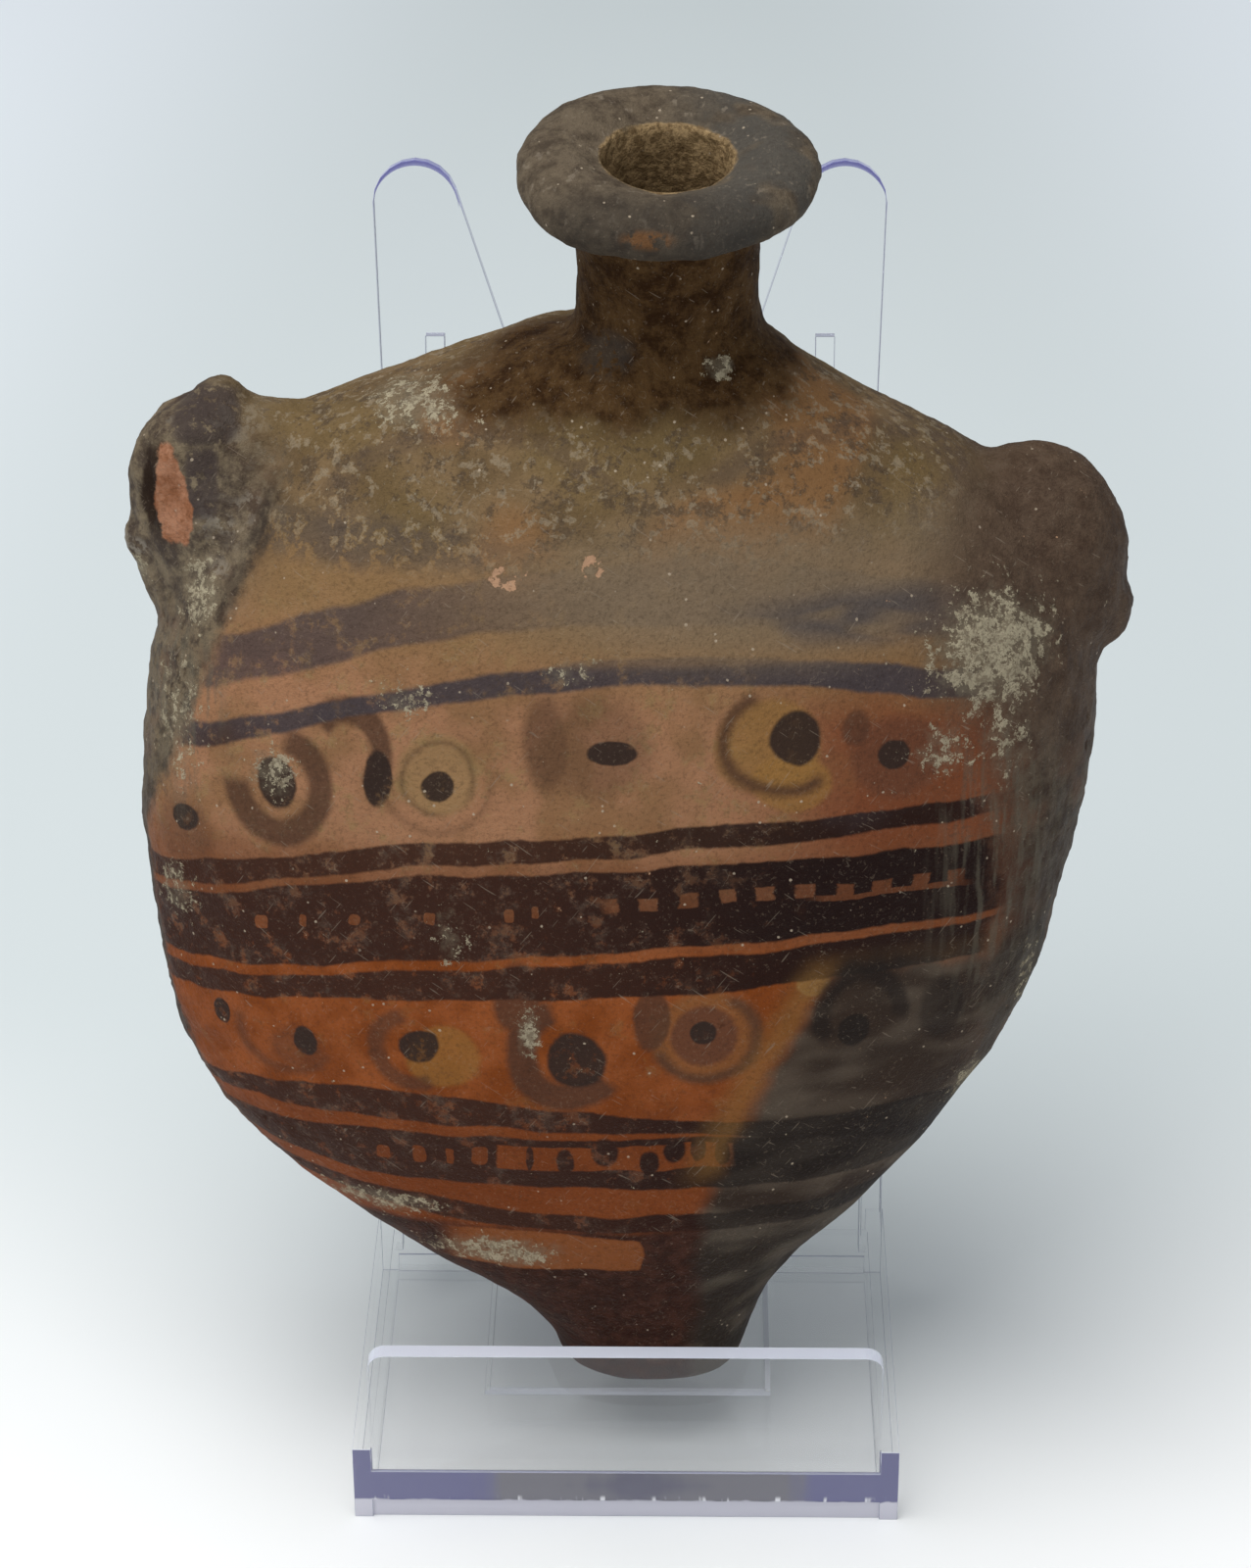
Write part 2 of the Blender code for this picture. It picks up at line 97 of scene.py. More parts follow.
class Reading:
    """What comes out of a shader node. Arithmetic on it adds Math nodes."""

    def __init__(self, finish, out):
        self.finish = finish
        self.out = out

    def work(self, operation, *others):
        sockets = dict(enumerate((self, *others)))
        return self.finish.add("ShaderNodeMath", {"operation": operation}, sockets)

    def reverse(self, operation, other):
        return self.finish.add("ShaderNodeMath", {"operation": operation}, {0: other, 1: self})

    def __add__(self, other):
        return self.work("ADD", other)

    def __radd__(self, other):
        return self.reverse("ADD", other)

    def __sub__(self, other):
        return self.work("SUBTRACT", other)

    def __rsub__(self, other):
        return self.reverse("SUBTRACT", other)

    def __mul__(self, other):
        return self.work("MULTIPLY", other)

    def __rmul__(self, other):
        return self.reverse("MULTIPLY", other)

    def __truediv__(self, other):
        return self.work("DIVIDE", other)

    def __rtruediv__(self, other):
        return self.reverse("DIVIDE", other)

    def __abs__(self):
        return self.work("ABSOLUTE")

    def over(self, other):
        return self.work("MAXIMUM", other)

    def within(self, other):
        return self.work("MINIMUM", other)

    def swing(self, amount):
        """A grain between 0 and 1 as a push to both sides, by up to half the amount."""
        return (self - 0.5) * amount

    def ramp(self, start, end):
        """0 at the start and 1 at the end, whichever is the larger: smooth between, level beyond."""
        sockets = {"Value": self, "From Min": min(start, end), "From Max": max(start, end)}
        if start > end:
            sockets.update({"To Min": 1.0, "To Max": 0.0})
        return self.finish.add("ShaderNodeMapRange", {"interpolation_type": "SMOOTHSTEP"}, sockets)


class Finish:
    """A material and the nodes that make it."""

    def __init__(self, name):
        self.material = bpy.data.materials.new(name)
        self.material.use_nodes = True
        self.tree = self.material.node_tree
        self.tree.nodes.clear()

    def add(self, kind, settings=None, sockets=None, out=0):
        """Adds a node, with its settings first and then the values or links of its sockets."""
        node = self.tree.nodes.new(kind)
        for key, value in (settings or {}).items():
            if key == "points":
                curve = node.mapping.curves[0]
                while len(curve.points) < len(value):
                    curve.points.new(0.5, 0.5)
                for point, place in zip(curve.points, value):
                    point.location = place
                node.mapping.update()
            else:
                setattr(node, key, value)
        for key, value in (sockets or {}).items():
            socket = node.inputs[key]
            if isinstance(value, Reading):
                self.tree.links.new(value.out, socket)
            else:
                socket.default_value = (*value, 1) if socket.type == "RGBA" else value
        return Reading(self, node.outputs[out])

    def place(self):
        """Places on the piece, in metres."""
        return self.add("ShaderNodeTexCoord", out="Object")

    def mapped(self, where, **sockets):
        return self.add("ShaderNodeMapping", None, {"Vector": where, **sockets})

    def place_in_mm(self):
        return self.mapped(self.place(), Scale=METRES_TO_MM)

    def split(self, vector):
        """The X, Y and Z of a place."""
        return [self.add("ShaderNodeSeparateXYZ", None, {0: vector}, axis) for axis in range(3)]

    def grain(self, where, scale, detail=2.0, roughness=0.5):
        sockets = {"Vector": where, "Scale": scale, "Detail": detail, "Roughness": roughness}
        return self.add("ShaderNodeTexNoise", None, sockets)

    def mix(self, below, above, mask):
        """Lays one colour over another where the mask is 1."""
        return self.add("ShaderNodeMix", {"data_type": "RGBA"}, {0: mask, 6: below, 7: above}, 2)

    def shader(self, sockets):
        return self.add("ShaderNodeBsdfPrincipled", None, sockets)

    def close(self, shader):
        """Joins the shader to the output and gives the material."""
        node = self.tree.nodes.new("ShaderNodeOutputMaterial")
        self.tree.links.new(shader.out, node.inputs["Surface"])
        return self.material


def plastic(finish, tint, roughness, transmission, alpha):
    sockets = {"Base Color": tint, "Roughness": roughness, "IOR": PLASTIC_IOR, "Alpha": alpha}
    return finish.shader({**sockets, "Transmission Weight": transmission})


def clear_plastic(finish):
    return plastic(finish, CLEAR_TINT, roughness=0.03, transmission=1.0, alpha=FACE_ALPHA)


def part_solid(finish, tint, solid):
    """Clear acrylic that turns solid in colour where the mask is 1."""
    thick = plastic(finish, tint, roughness=0.3, transmission=0.15, alpha=1.0)
    shaders = {0: solid, 1: clear_plastic(finish), 2: thick}
    return finish.close(finish.add("ShaderNodeMixShader", None, shaders))


def up_plate(y, z):
    """How far up the leaning plate a place is, from its hinge in the tray."""
    return (z - PLATE_HINGE[1]) * cos(PLATE_LEAN) + (y - PLATE_HINGE[0]) * sin(PLATE_LEAN)


def clear_face_finish():
    finish = Finish("clear_plastic")
    return finish.close(clear_plastic(finish))


def violet_edge_finish():
    """The same acrylic seen along the sheet, tinted most at the ears and pale on the bead; the lip's top
    is painted pale as a painted highlight.
    """
    finish = Finish("plastic_edge")
    where = finish.place_in_mm()
    x, y, z = finish.split(where)
    frost = finish.grain(where, 0.5, 1.0)
    violet = finish.mix(EDGE_TINT, FROST_TINT, frost.ramp(0.45, 0.7))
    tint = finish.mix(GREY_TINT, violet, up_plate(y, z).ramp(EAR_UP - 3, EAR_UP + 1))
    # The lip's top edge is painted pale bluish white as a painted highlight.
    tint = finish.mix(tint, LIP_HIGHLIGHT_TINT, y.ramp(LIP_BACK - 1, LIP_BACK - 2) * z.ramp(LIP_FOOT, LIP_FOOT + 1))
    on_bead = abs(x).ramp(BEAD_ASIDE, BEAD_ASIDE - 0.5) * y.ramp(BEAD_FRONT, BEAD_FRONT + 0.5)
    on_bead = on_bead * y.ramp(BEAD_BACK, BEAD_BACK - 0.5) * z.ramp(BEAD_TOP, BEAD_TOP - 1)
    tint = finish.mix(tint, BEAD_TINT, on_bead)
    return finish.close(plastic(finish, tint, roughness=0.15, transmission=0.3, alpha=1.0))


def front_band_finish():
    """The tray's thick front, violet between two clear zones, with a paler foot, painted glints along the
    foot's line, and painted shade of the flask's foot seen through its middle.
    """
    finish = Finish("plastic_front")
    where = finish.place_in_mm()
    x, _, z = finish.split(where)
    drawn_down = finish.mapped(where, Scale=(1, 1, 0.12))
    streak = finish.grain(drawn_down, 0.42, 1.0)
    glints = finish.grain(drawn_down, 0.9, 1.0)
    # Greyer across the middle and darkest just in front of the flask's foot: painted shade of the foot
    # and its shadow, seen through the band.
    flask_foot_shade = (abs(x - (TRAY_MIDDLE + 2)) + streak.swing(8)).ramp(26, 20)
    blotch = (abs(x - 1.8) + streak.swing(10) + abs(z - 6.2) * 2.2).ramp(13, 3)
    tint = finish.mix(BAND_TINT, FLASK_SHADE_GREY, flask_foot_shade)
    tint = finish.mix(tint, FLASK_SHADE_DARK, blotch * 0.6)
    tint = finish.mix(tint, FOOT_TINT, (z + streak.swing(0.9)).ramp(BAND_FOOT, BAND_FOOT - 0.4))
    # White flecks along the line between band and foot are painted glints.
    tint = finish.mix(tint, GLINT_TINT, abs(z - BAND_FOOT).ramp(0.9, 0.1) * glints.ramp(0.60, 0.72))
    band = z.ramp(BAND_TOP, BAND_TOP - 0.3)
    post = abs(x - TRAY_MIDDLE).ramp(POST_INSIDE, POST_INSIDE + 0.3) * z.ramp(POST_TOP, POST_TOP - 0.5)
    return part_solid(finish, tint, band.over(post) * 0.93)


def ear_finish():
    """The leaning plate's faces, with the ears' violet crescents seen through the sheet."""
    finish = Finish("plastic_ears")
    x, y, z = finish.split(finish.place_in_mm())
    along = up_plate(y, z)
    aside = abs(x - TRAY_MIDDLE) - EAR_ASIDE
    above = along - (EAR_UP - CRESCENT_DROP)
    from_ear = (aside * aside + above * above).work("SQRT")
    crescent = from_ear.ramp(EAR_RADIUS, EAR_RADIUS + 0.15) * along.ramp(EAR_UP - 1, EAR_UP + 1)
    return part_solid(finish, EDGE_TINT, crescent * 0.9)


EASEL_FINISHES = (clear_face_finish, violet_edge_finish, front_band_finish, ear_finish)


def easel_face_finish(face):
    """Which of the easel's finishes a face takes, by where it lies and where it faces."""
    facing = face.normal
    centre = face.calc_center_median() / MM
    with_plate = abs(facing.dot(PLATE_FACING))
    plate_edge = with_plate < 0.5 and abs(facing.x) < 0.999 and centre.z > PLATE_EDGES_FROM
    plate_side = abs(facing.x) > 0.8 and centre.z > PLATE_SIDES_FROM and abs(centre.x) > RIB_ROOM
    lip_top = facing.z > 0.7 and centre.y < LIP_BACK and centre.z > LIP_FOOT
    width = face.calc_area() / max(edge.calc_length() for edge in face.edges) / MM
    if plate_edge or plate_side or lip_top or width < STRIP_WIDTH:
        return violet_edge_finish
    if facing.y < -0.9 and centre.y < TRAY_FRONT + 1:
        return front_band_finish
    if with_plate > 0.99 and centre.z > PLATE_FACES_FROM:
        return ear_finish
    return clear_face_finish


def object_from(name, builder):
    mesh = bpy.data.meshes.new(name)
    builder.to_mesh(mesh)
    builder.free()
    piece = bpy.data.objects.new(name, mesh)
    bpy.context.collection.objects.link(piece)
    return piece


def easel_piece():
    """The CAD part's easel as a new piece, with broken edges and tinted cut faces."""
    builder = bmesh.new()
    builder.from_mesh(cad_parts["clear_easel"].data)
    bmesh.ops.remove_doubles(builder, verts=builder.verts, dist=MERGE_GAP * MM)
    bmesh.ops.dissolve_limit(builder, angle_limit=FLAT_ANGLE, verts=builder.verts, edges=builder.edges)
    sharp = [edge for edge in builder.edges if edge.is_manifold and edge.calc_face_angle() > SHARP_ANGLE]
    convex = [edge for edge in sharp if edge.is_convex]
    bmesh.ops.bevel(
        builder, geom=convex, offset=EDGE_BREAK * MM, offset_type="OFFSET", affect="EDGES",
        segments=2, profile=0.5, material=-1, clamp_overlap=True,
    )
    for face in builder.faces:
        face.material_index = EASEL_FINISHES.index(easel_face_finish(face))
        face.smooth = False
    piece = object_from("easel_shell", builder)
    for finish in EASEL_FINISHES:
        piece.data.materials.append(finish())
    return piece


easel = easel_piece()
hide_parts("clear_easel")
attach(easel, "root")

# The flask is built up by hand in coarse reddish clay: a lens-shaped belly on a knob foot,
# a lug pressed on at each shoulder, and a short neck with a thick rolled rim. It is hollow,
# and its skin is drawn here in millimetres, upright, before it is leant into the easel.

BODY_HEIGHT = 160.0
BELLY_WIDTH = 136.5
BELLY_DEPTH = 66.0
SECTION_FULLNESS = 2.25
FLASK_LEAN = radians(10)
FLASK_PLACE = Vector((2.08, -29.7, 10.52))
BELLY_STATIONS = (
    (0, 0.15, 0.165, 0.3),
    (0.01, 0.185, 0.2, 0.37),
    (0.045, 0.212, 0.24, 0.43),
    (0.075, 0.265, 0.27, 0.475),
    (0.106, 0.35, 0.31, 0.525),
    (0.137, 0.49, 0.372, 0.58),
    (0.174, 0.64, 0.466, 0.64),
    (0.217, 0.77, 0.567, 0.705),
    (0.273, 0.888, 0.664, 0.79),
    (0.342, 0.976, 0.764, 0.87),
    (0.435, 1.028, 0.86, 0.95),
    (0.56, 1.05, 0.922, 1),
    (0.672, 1.034, 0.945, 0.985),
    (0.759, 0.983, 0.925, 0.925),
    (0.825, 0.89, 0.842, 0.83),
    (0.88, 0.8, 0.7, 0.72),
    (0.916, 0.71, 0.56, 0.635),
    (0.945, 0.56, 0.43, 0.56),
    (0.975, 0.345, 0.318, 0.48),
    (1, 0.195, 0.243, 0.41),
)
NECK_SHARE = 0.962
NECK_OFFSET = 6.1
NECK_TIP = radians(20)
NECK_PROFILE = ((0, -14), (12.5, -14), (15, -3), (13.4, 4), (12.4, 11), (12.3, 19), (12.9, 26))
RIM_RING_RADIUS = 14.4
RIM_REACH = 5.9
RIM_HALF_THICKNESS = 3.9
RIM_MIDDLE = 30.4
RIM_START = -70
RIM_SWEEP = 195
RIM_STEPS = 14
RIM_INSIDE = ((9.3, 32.6), (0, 32.2))
BORE_PROFILE = (
    (0, -20), (8.2, -20), (8.3, 0), (8.5, 12), (8.4, 24), (8.5, 30), (9, 33), (10.4, 37), (0, 37),
)
WALL = 5.0
HOLLOW_SHARES = (0.1, 0.955)
HOLLOW_FLOOR = 14.0
SKIN_VOXEL = 0.95
HOLLOW_VOXEL = 2.2
TINY = 0.001


def smooth_row(height):
    """Reads the station table at any share of the height through a smooth curve."""
    last = len(BELLY_STATIONS) - 1
    index = max(i for i in range(last) if BELLY_STATIONS[i][0] <= height or i == 0)
    rows = [BELLY_STATIONS[min(max(index + step, 0), last)] for step in (-1, 0, 1, 2)]
    before, low, high, after = rows
    span = high[0] - low[0]
    t = (height - low[0]) / span
    values = []
    for column in (1, 2, 3):
        slope_low = (high[column] - before[column]) / (high[0] - before[0])
        slope_high = (after[column] - low[column]) / (after[0] - low[0])
        values.append(
            low[column] * (2 * t ** 3 - 3 * t ** 2 + 1)
            + high[column] * (3 * t ** 2 - 2 * t ** 3)
            + slope_low * span * (t ** 3 - 2 * t ** 2 + t)
            + slope_high * span * (t ** 3 - t ** 2)
        )
    return values


def belly_reach(share, inset=0.0):
    """How far the belly reaches left, right and deep at a share of its height."""
    left, right, depth = smooth_row(share)
    sizes = ((left, BELLY_WIDTH), (right, BELLY_WIDTH), (depth, BELLY_DEPTH))
    return [part * size / 2 - inset for part, size in sizes]


def section_point(reach, height, turn):
    """A point on a rounded, lens-like section of the belly."""
    left, right, depth = reach
    power = 2 / SECTION_FULLNESS
    across = abs(cos(turn)) ** power * (1 if cos(turn) >= 0 else -1)
    deep = abs(sin(turn)) ** power * (1 if sin(turn) >= 0 else -1)
    return Vector(((right - left) / 2 + (right + left) / 2 * across, depth * deep, height))


def add_belly(builder, low, high, inset, rings, segments):
    """A ball drawn out to the belly's sections, from a low to a high share of its height."""
    made = bmesh.ops.create_uvsphere(builder, u_segments=segments, v_segments=rings, radius=1)
    for vert in made["verts"]:
        from_axis = hypot(vert.co.x, vert.co.y)
        share = low + (high - low) * (0.5 + atan2(vert.co.z, from_axis) / pi)
        reach = belly_reach(share, inset)
        height = share * BODY_HEIGHT
        if from_axis < TINY:
            vert.co = (section_point(reach, height, 0) + section_point(reach, height, pi)) / 2
        else:
            vert.co = section_point(reach, height, atan2(vert.co.y, vert.co.x))


def neck_place():
    left, right, _ = belly_reach(NECK_SHARE)
    root = Vector(((right - left) / 2 + NECK_OFFSET, 0, NECK_SHARE * BODY_HEIGHT))
    return Matrix.Translation(root) @ Matrix.Rotation(NECK_TIP, 4, "X")


def add_turned(builder, profile, steps, place):
    """Spins a profile of radius and height pairs about its axis, closed on the axis at both ends."""
    verts = [builder.verts.new((radius, 0, height)) for radius, height in profile]
    edges = [builder.edges.new(pair) for pair in zip(verts, verts[1:])]
    before = set(builder.verts) - set(verts)
    bmesh.ops.spin(
        builder, geom=verts + edges, cent=(0, 0, 0), axis=(0, 0, 1), angle=2 * pi,
        steps=steps, use_merge=True,
    )
    spun = [vert for vert in builder.verts if vert not in before]
    bmesh.ops.remove_doubles(builder, verts=spun, dist=TINY)
    spun = [vert for vert in builder.verts if vert not in before]
    bmesh.ops.transform(builder, matrix=place, verts=spun)


def add_lump(builder, centre, size, turns):
    """A rounded lump of clay: its centre, its half sizes, and its turns about X, Y and Z in degrees."""
    place = Matrix.Translation(centre)
    for angle, axis in zip(turns, "XYZ"):
        place @= Matrix.Rotation(radians(angle), 4, axis)
    place @= Matrix.Diagonal((*size, 1))
    bmesh.ops.create_uvsphere(builder, u_segments=40, v_segments=24, radius=1, matrix=place)


def rim_profile():
    """The neck's profile up into the rolled rim, and over its top down to the axis."""
    profile = list(NECK_PROFILE)
    for step in range(RIM_STEPS + 1):
        turn = radians(RIM_START + RIM_SWEEP * step / RIM_STEPS)
        reach = RIM_REACH * (1 + 0.06 * sin(2 * turn))
        profile.append((RIM_RING_RADIUS + reach * cos(turn), RIM_MIDDLE + RIM_HALF_THICKNESS * sin(turn)))
    return [*profile, *RIM_INSIDE]


LUMPS = (
    ((-58.6, 0, 133), (12.9, 12, 17.4), (0, -19, 0)),
    ((-62.5, -4, 141), (8.2, 7, 9), (0, 35, 0)),
    ((-58.8, -1, 148.2), (4.2, 5.5, 4.2), (0, 20, 0)),
    ((-50.5, -1, 144.6), (8.5, 7, 4.2), (0, 8, 0)),
    ((-70, -2, 129), (3.2, 4, 3.6), (0, -20, 0)),
    ((-66.4, -1, 123.6), (4.6, 5.5, 5.6), (0, -20, 0)),
    ((54.4, 0, 125), (14.1, 13.5, 17.6), (0, 4, 0)),
    ((66.2, -1, 119.4), (3.2, 4.5, 5.8), (0, 6, 0)),
)
JOINTS = (
    ((-60, 0, 121), (14, 20, 12)),
    ((-52, 0, 146), (12, 20, 8)),
    ((52, 0, 113), (14, 20, 12)),
    ((44, 0, 140), (12, 20, 9)),
)
NECK_JOINT_RISE = 2
NECK_JOINT = (24, 24, 9)
JOINT_PASSES = 60
SKIN_PASSES = 10
SMOOTHING = 0.5
PIT_SPREAD = 0.16
PIT_DEPTH = 3.2
ROUGH_TOP = (100, 120)
ROUGH_SIDES = (44, 58)
TORN_PLACES = (
    (-1.5, (-64.5, -14, 137.5), (3, 12, 6.5)),
    (-2.6, (-68.6, -12, 137), (1.4, 12, 7.5)),
    (1.3, (-72.5, -8, 138), (2, 9, 9)),
    (0.9, (-62.5, -12, 146), (6, 9, 1.6)),
    (-0.45, (-18.2, -30, 131.1), (3.4, 10, 2)),
    (-0.4, (-6.3, -30, 132.5), (1.6, 10, 1.6)),
)


def bake_modifiers(piece):
    bpy.context.view_layer.update()
    seen = piece.evaluated_get(bpy.context.evaluated_depsgraph_get())
    mesh = bpy.data.meshes.new_from_object(seen)
    piece.modifiers.clear()
    piece.data = mesh


def remesh(piece, voxel):
    """Runs overlapping shells into one closed skin of even, small faces."""
    skin = piece.modifiers.new("skin", "REMESH")
    skin.mode = "VOXEL"
    skin.voxel_size = voxel
    bake_modifiers(piece)


def press(piece, move):
    """Pushes each place on the piece in or out, along its normal, by what move says."""
    normals = [vert.normal.copy() for vert in piece.data.vertices]
    for vert, normal in zip(piece.data.vertices, normals):
        vert.co = vert.co + normal * move(vert.co)


def swell(point, centre, size):
    """1 at the centre of a soft oval and 0 well outside it."""
    away = Vector([(point[axis] - centre[axis]) / size[axis] for axis in range(3)])
    return exp(-2.2 * away.length_squared)


def rise(value, start, end):
    """0 up to the start, 1 from the end, and an even rise between."""
    return min(max((value - start) / (end - start), 0), 1)


def skin_move(point):
    """How far the clay stands out or in at a place on the skin: waves, grain and pits."""
    move = noise.noise(point * 0.045) * 0.9
    move += noise.noise(point * 0.14 + Vector((7, 3, 1))) * 0.28
    move += noise.fractal(point * 0.45, 0.8, 2.0, 3) * 0.07
    rough_top = rise(point.z, *ROUGH_TOP)
    move += noise.fractal(point * 0.3 + Vector((1, 9, 4)), 0.7, 2.1, 4) * 0.16 * rough_top
    rough_side = rise(abs(point.x), *ROUGH_SIDES)
    move += noise.fractal(point * 0.22 + Vector((5, 5, 5)), 0.7, 2.2, 4) * 0.32 * rough_side
    from_pit = noise.voronoi(point * 0.24)[0][0]
    if from_pit < PIT_SPREAD and noise.noise(point * 0.1 + Vector((20, 0, 0))) > 0.15:
        move -= (PIT_SPREAD - from_pit) * PIT_DEPTH
    return move


def tear_move(point):
    """The break scar on the left lug, the crevice beside it and the chips in front."""
    move = 0.0
    for amount, centre, size in TORN_PLACES:
        move += amount * swell(point, centre, size)
    return move


def bore_move(point):
    return noise.fractal(point * 0.35, 0.7, 2.1, 3) * 0.5


def raw_skin():
    builder = bmesh.new()
    add_belly(builder, 0.0, 1.0, 0.0, rings=120, segments=144)
    add_turned(builder, rim_profile(), steps=96, place=neck_place())
    for lump in LUMPS:
        add_lump(builder, *lump)
    bmesh.ops.recalc_face_normals(builder, faces=builder.faces)
    return object_from("painted_flask_skin", builder)


def soften(piece):
    """Runs the joints of neck and lugs together, as wet clay is smoothed by a thumb."""
    joints = piece.vertex_groups.new(name="joints")
    neck = neck_place().translation
    round_neck = ((neck.x, 0, neck.z + NECK_JOINT_RISE), NECK_JOINT)
    for vert in piece.data.vertices:
        weight = max(swell(vert.co, *joint) for joint in (round_neck, *JOINTS))
        joints.add([vert.index], weight, "REPLACE")
    for group, passes in ((joints.name, JOINT_PASSES), ("", SKIN_PASSES)):
        thumb = piece.modifiers.new("thumb", "SMOOTH")
        thumb.factor = SMOOTHING
        thumb.iterations = passes
        thumb.vertex_group = group
    bake_modifiers(piece)


def hollow_tool():
    """The space inside: the belly drawn in by its wall, and the neck's rough bore."""
    builder = bmesh.new()
    add_belly(builder, *HOLLOW_SHARES, WALL, rings=40, segments=48)
    for vert in builder.verts:
        vert.co.z = max(vert.co.z, HOLLOW_FLOOR)
    add_turned(builder, BORE_PROFILE, steps=72, place=neck_place())
    bmesh.ops.recalc_face_normals(builder, faces=builder.faces)
    tool = object_from("hollow", builder)
    remesh(tool, HOLLOW_VOXEL)
    press(tool, bore_move)
    return tool


def flask_piece():
    skin = raw_skin()
    remesh(skin, SKIN_VOXEL)
    soften(skin)
    press(skin, lambda point: skin_move(point) + tear_move(point))
    tool = hollow_tool()
    cut = skin.modifiers.new("hollow", "BOOLEAN")
    cut.operation = "DIFFERENCE"
    cut.solver = "EXACT"
    cut.object = tool
    bake_modifiers(skin)
    bpy.data.objects.remove(tool)
    skin.data.transform(Matrix.Scale(MM, 4))
    lean = Matrix.Rotation(-FLASK_LEAN, 4, "X")
    skin.data.transform(Matrix.Translation(FLASK_PLACE * MM) @ lean)
    skin.data.shade_smooth()
    return skin


# How the flask was painted: dark bands round the front, curls with a dot in each bay, and
# rows of light squares left in the dark bands. Lines are given as places across the front
# and heights up the flask, in millimetres, as a painter would set them out.

LINE_REACH = 76.0
LINE_HEIGHT = 200.0
BANDS = (
    (
        ((-61, 119), (-29, 129.4), (-7, 132.5), (13, 133.6), (45, 127.9)),
        ((-59, 113), (-29, 122.4), (-7, 125.0), (13, 124.9), (45, 121.6)),
        0.5, 0.8,
    ),
    (
        ((-61, 108.0), (-33.5, 115.7), (-13.5, 119.8), (14, 120.8), (45, 117.7)),
        ((-61, 104.5), (-33.5, 113.1), (-13.5, 116.2), (14, 117.2), (45, 113.4)),
        0.4, 0.95,
    ),
    (
        ((-68, 86.0), (-34, 94.0), (-7, 96.0), (19.6, 98.3), (45, 98.9)),
        ((-68, 82.6), (-34, 90.7), (-7, 92.7), (19.6, 95.2), (45, 96.2)),
        0.25, 0.95,
    ),
    (
        ((-68.4, 81.2), (-34, 89.4), (-7, 90.8), (19.6, 92.6), (45, 92.6)),
        ((-68.3, 71.2), (-34, 76.4), (-7, 78.5), (19.8, 80.6), (46, 81.6)),
        0.25, 1.0,
    ),
    (
        ((-65, 69.9), (-34, 75.0), (-7, 77.1), (19.8, 79.0), (47, 80.5)),
        ((-65, 66.5), (-34, 70.8), (-7, 72.0), (19.8, 73.5), (47, 74.6)),
        0.25, 0.97,
    ),
    (
        ((-57, 53.9), (-35, 55.9), (-7.4, 53.2), (13, 51.0), (34, 51.0)),
        ((-57, 50.8), (-35, 50.8), (-7.4, 49.8), (13, 48.4), (34, 47.2)),
        0.25, 0.97,
    ),
    (
        ((-52, 48.0), (-35, 48.7), (-13, 48.5), (6.4, 48.2), (34, 48.0)),
        ((-52, 42.0), (-36, 40.2), (-13, 39.6), (6.4, 39.3), (34, 39.0)),
        0.25, 1.0,
    ),
    (
        ((-44, 38.4), (-31.5, 36.8), (-13, 34.6), (6.5, 34.6), (24, 35.0)),
        ((-44, 35.6), (-24.6, 32.2), (-7.6, 31.5), (3.7, 31.5), (24, 31.5)),
        0.25, 0.97,
    ),
)
COMB_LINE = ((-10, 85.2), (-4.4, 85.7), (6.3, 86.6), (20, 87.4), (45, 87.6))
TEETH_HEIGHT = 45.0
DOTS = (
    ((-63.4, 93.4), (2, 2)),
    ((-50.1, 101.2), (2.7, 3.5)),
    ((-27.4, 102.9), (2.4, 2.2)),
    ((-3.7, 108.2), (3.3, 1.9)),
    ((21.1, 109.7), (3.6, 3.4)),
    ((34.4, 106.9), (2.3, 2.2)),
    ((-59.4, 64.2), (1.2, 2)),
    ((-47.2, 62.5), (1.7, 2.4)),
    ((-31, 63.6), (2.8, 2.5)),
    ((-8.9, 62), (4.1, 4.4)),
    ((8.8, 66.5), (2, 1.9)),
    ((29.9, 65.2), (2.3, 2.9)),
    ((-35.5, 103.6), (2.1, 4)),
)
BROWN_SPOTS = (
    ((-63.7, 91), (3.8, 5.6), 0.3, 0.4),
    ((-6.6, 108.8), (8.4, 7), 0.25, 0.5),
    ((-12.4, 109), (3.2, 6.8), 0.3, 0.75),
    ((29.5, 110.6), (1.9, 2.6), 0.25, 0.85),
    ((35.1, 106.3), (6.4, 5.6), 0.2, 0.45),
    ((-48.6, 60.6), (3.8, 3.8), 0.3, 0.5),
    ((1.5, 68.6), (2.4, 5.2), 0.15, 0.95),
    ((-17, 71.6), (3.2, 5.4), 0.2, 0.95),
    ((8.9, 66.1), (4.8, 4.9), 0.1, 0.6),
    ((42.4, 66.4), (3.2, 5.4), 0.2, 0.8),
)
CURLS = (
    ((-49.8, 101), (5.9, 6.6), 0.3, -50, -0.62, 1),
    ((-39.6, 107), (4.6, 5.6), 0.34, 45, -0.25, 1),
    ((-27.3, 103.9), (4.9, 5.1), 0.05, 120, -0.9, 0.7),
    ((-27.6, 104.4), (7.6, 8.2), 0.035, 250, -0.3, 0.5),
    ((18.8, 109.2), (7.6, 6.9), 0.12, 215, -0.2, 1),
    ((-31.4, 63.1), (5.4, 5.6), 0.22, 200, -0.1, 0.8),
    ((-50.5, 62.5), (6.4, 6), 0.12, 250, 0, 0.6),
    ((-10, 63.1), (6.6, 7.2), 0.3, 215, -0.25, 1.1),
    ((9.2, 65.8), (7.1, 7.1), 0.12, -50, -0.35, 0.9),
    ((30.9, 67.8), (5.5, 6.5), 0.22, 100, -0.4, 1),
)
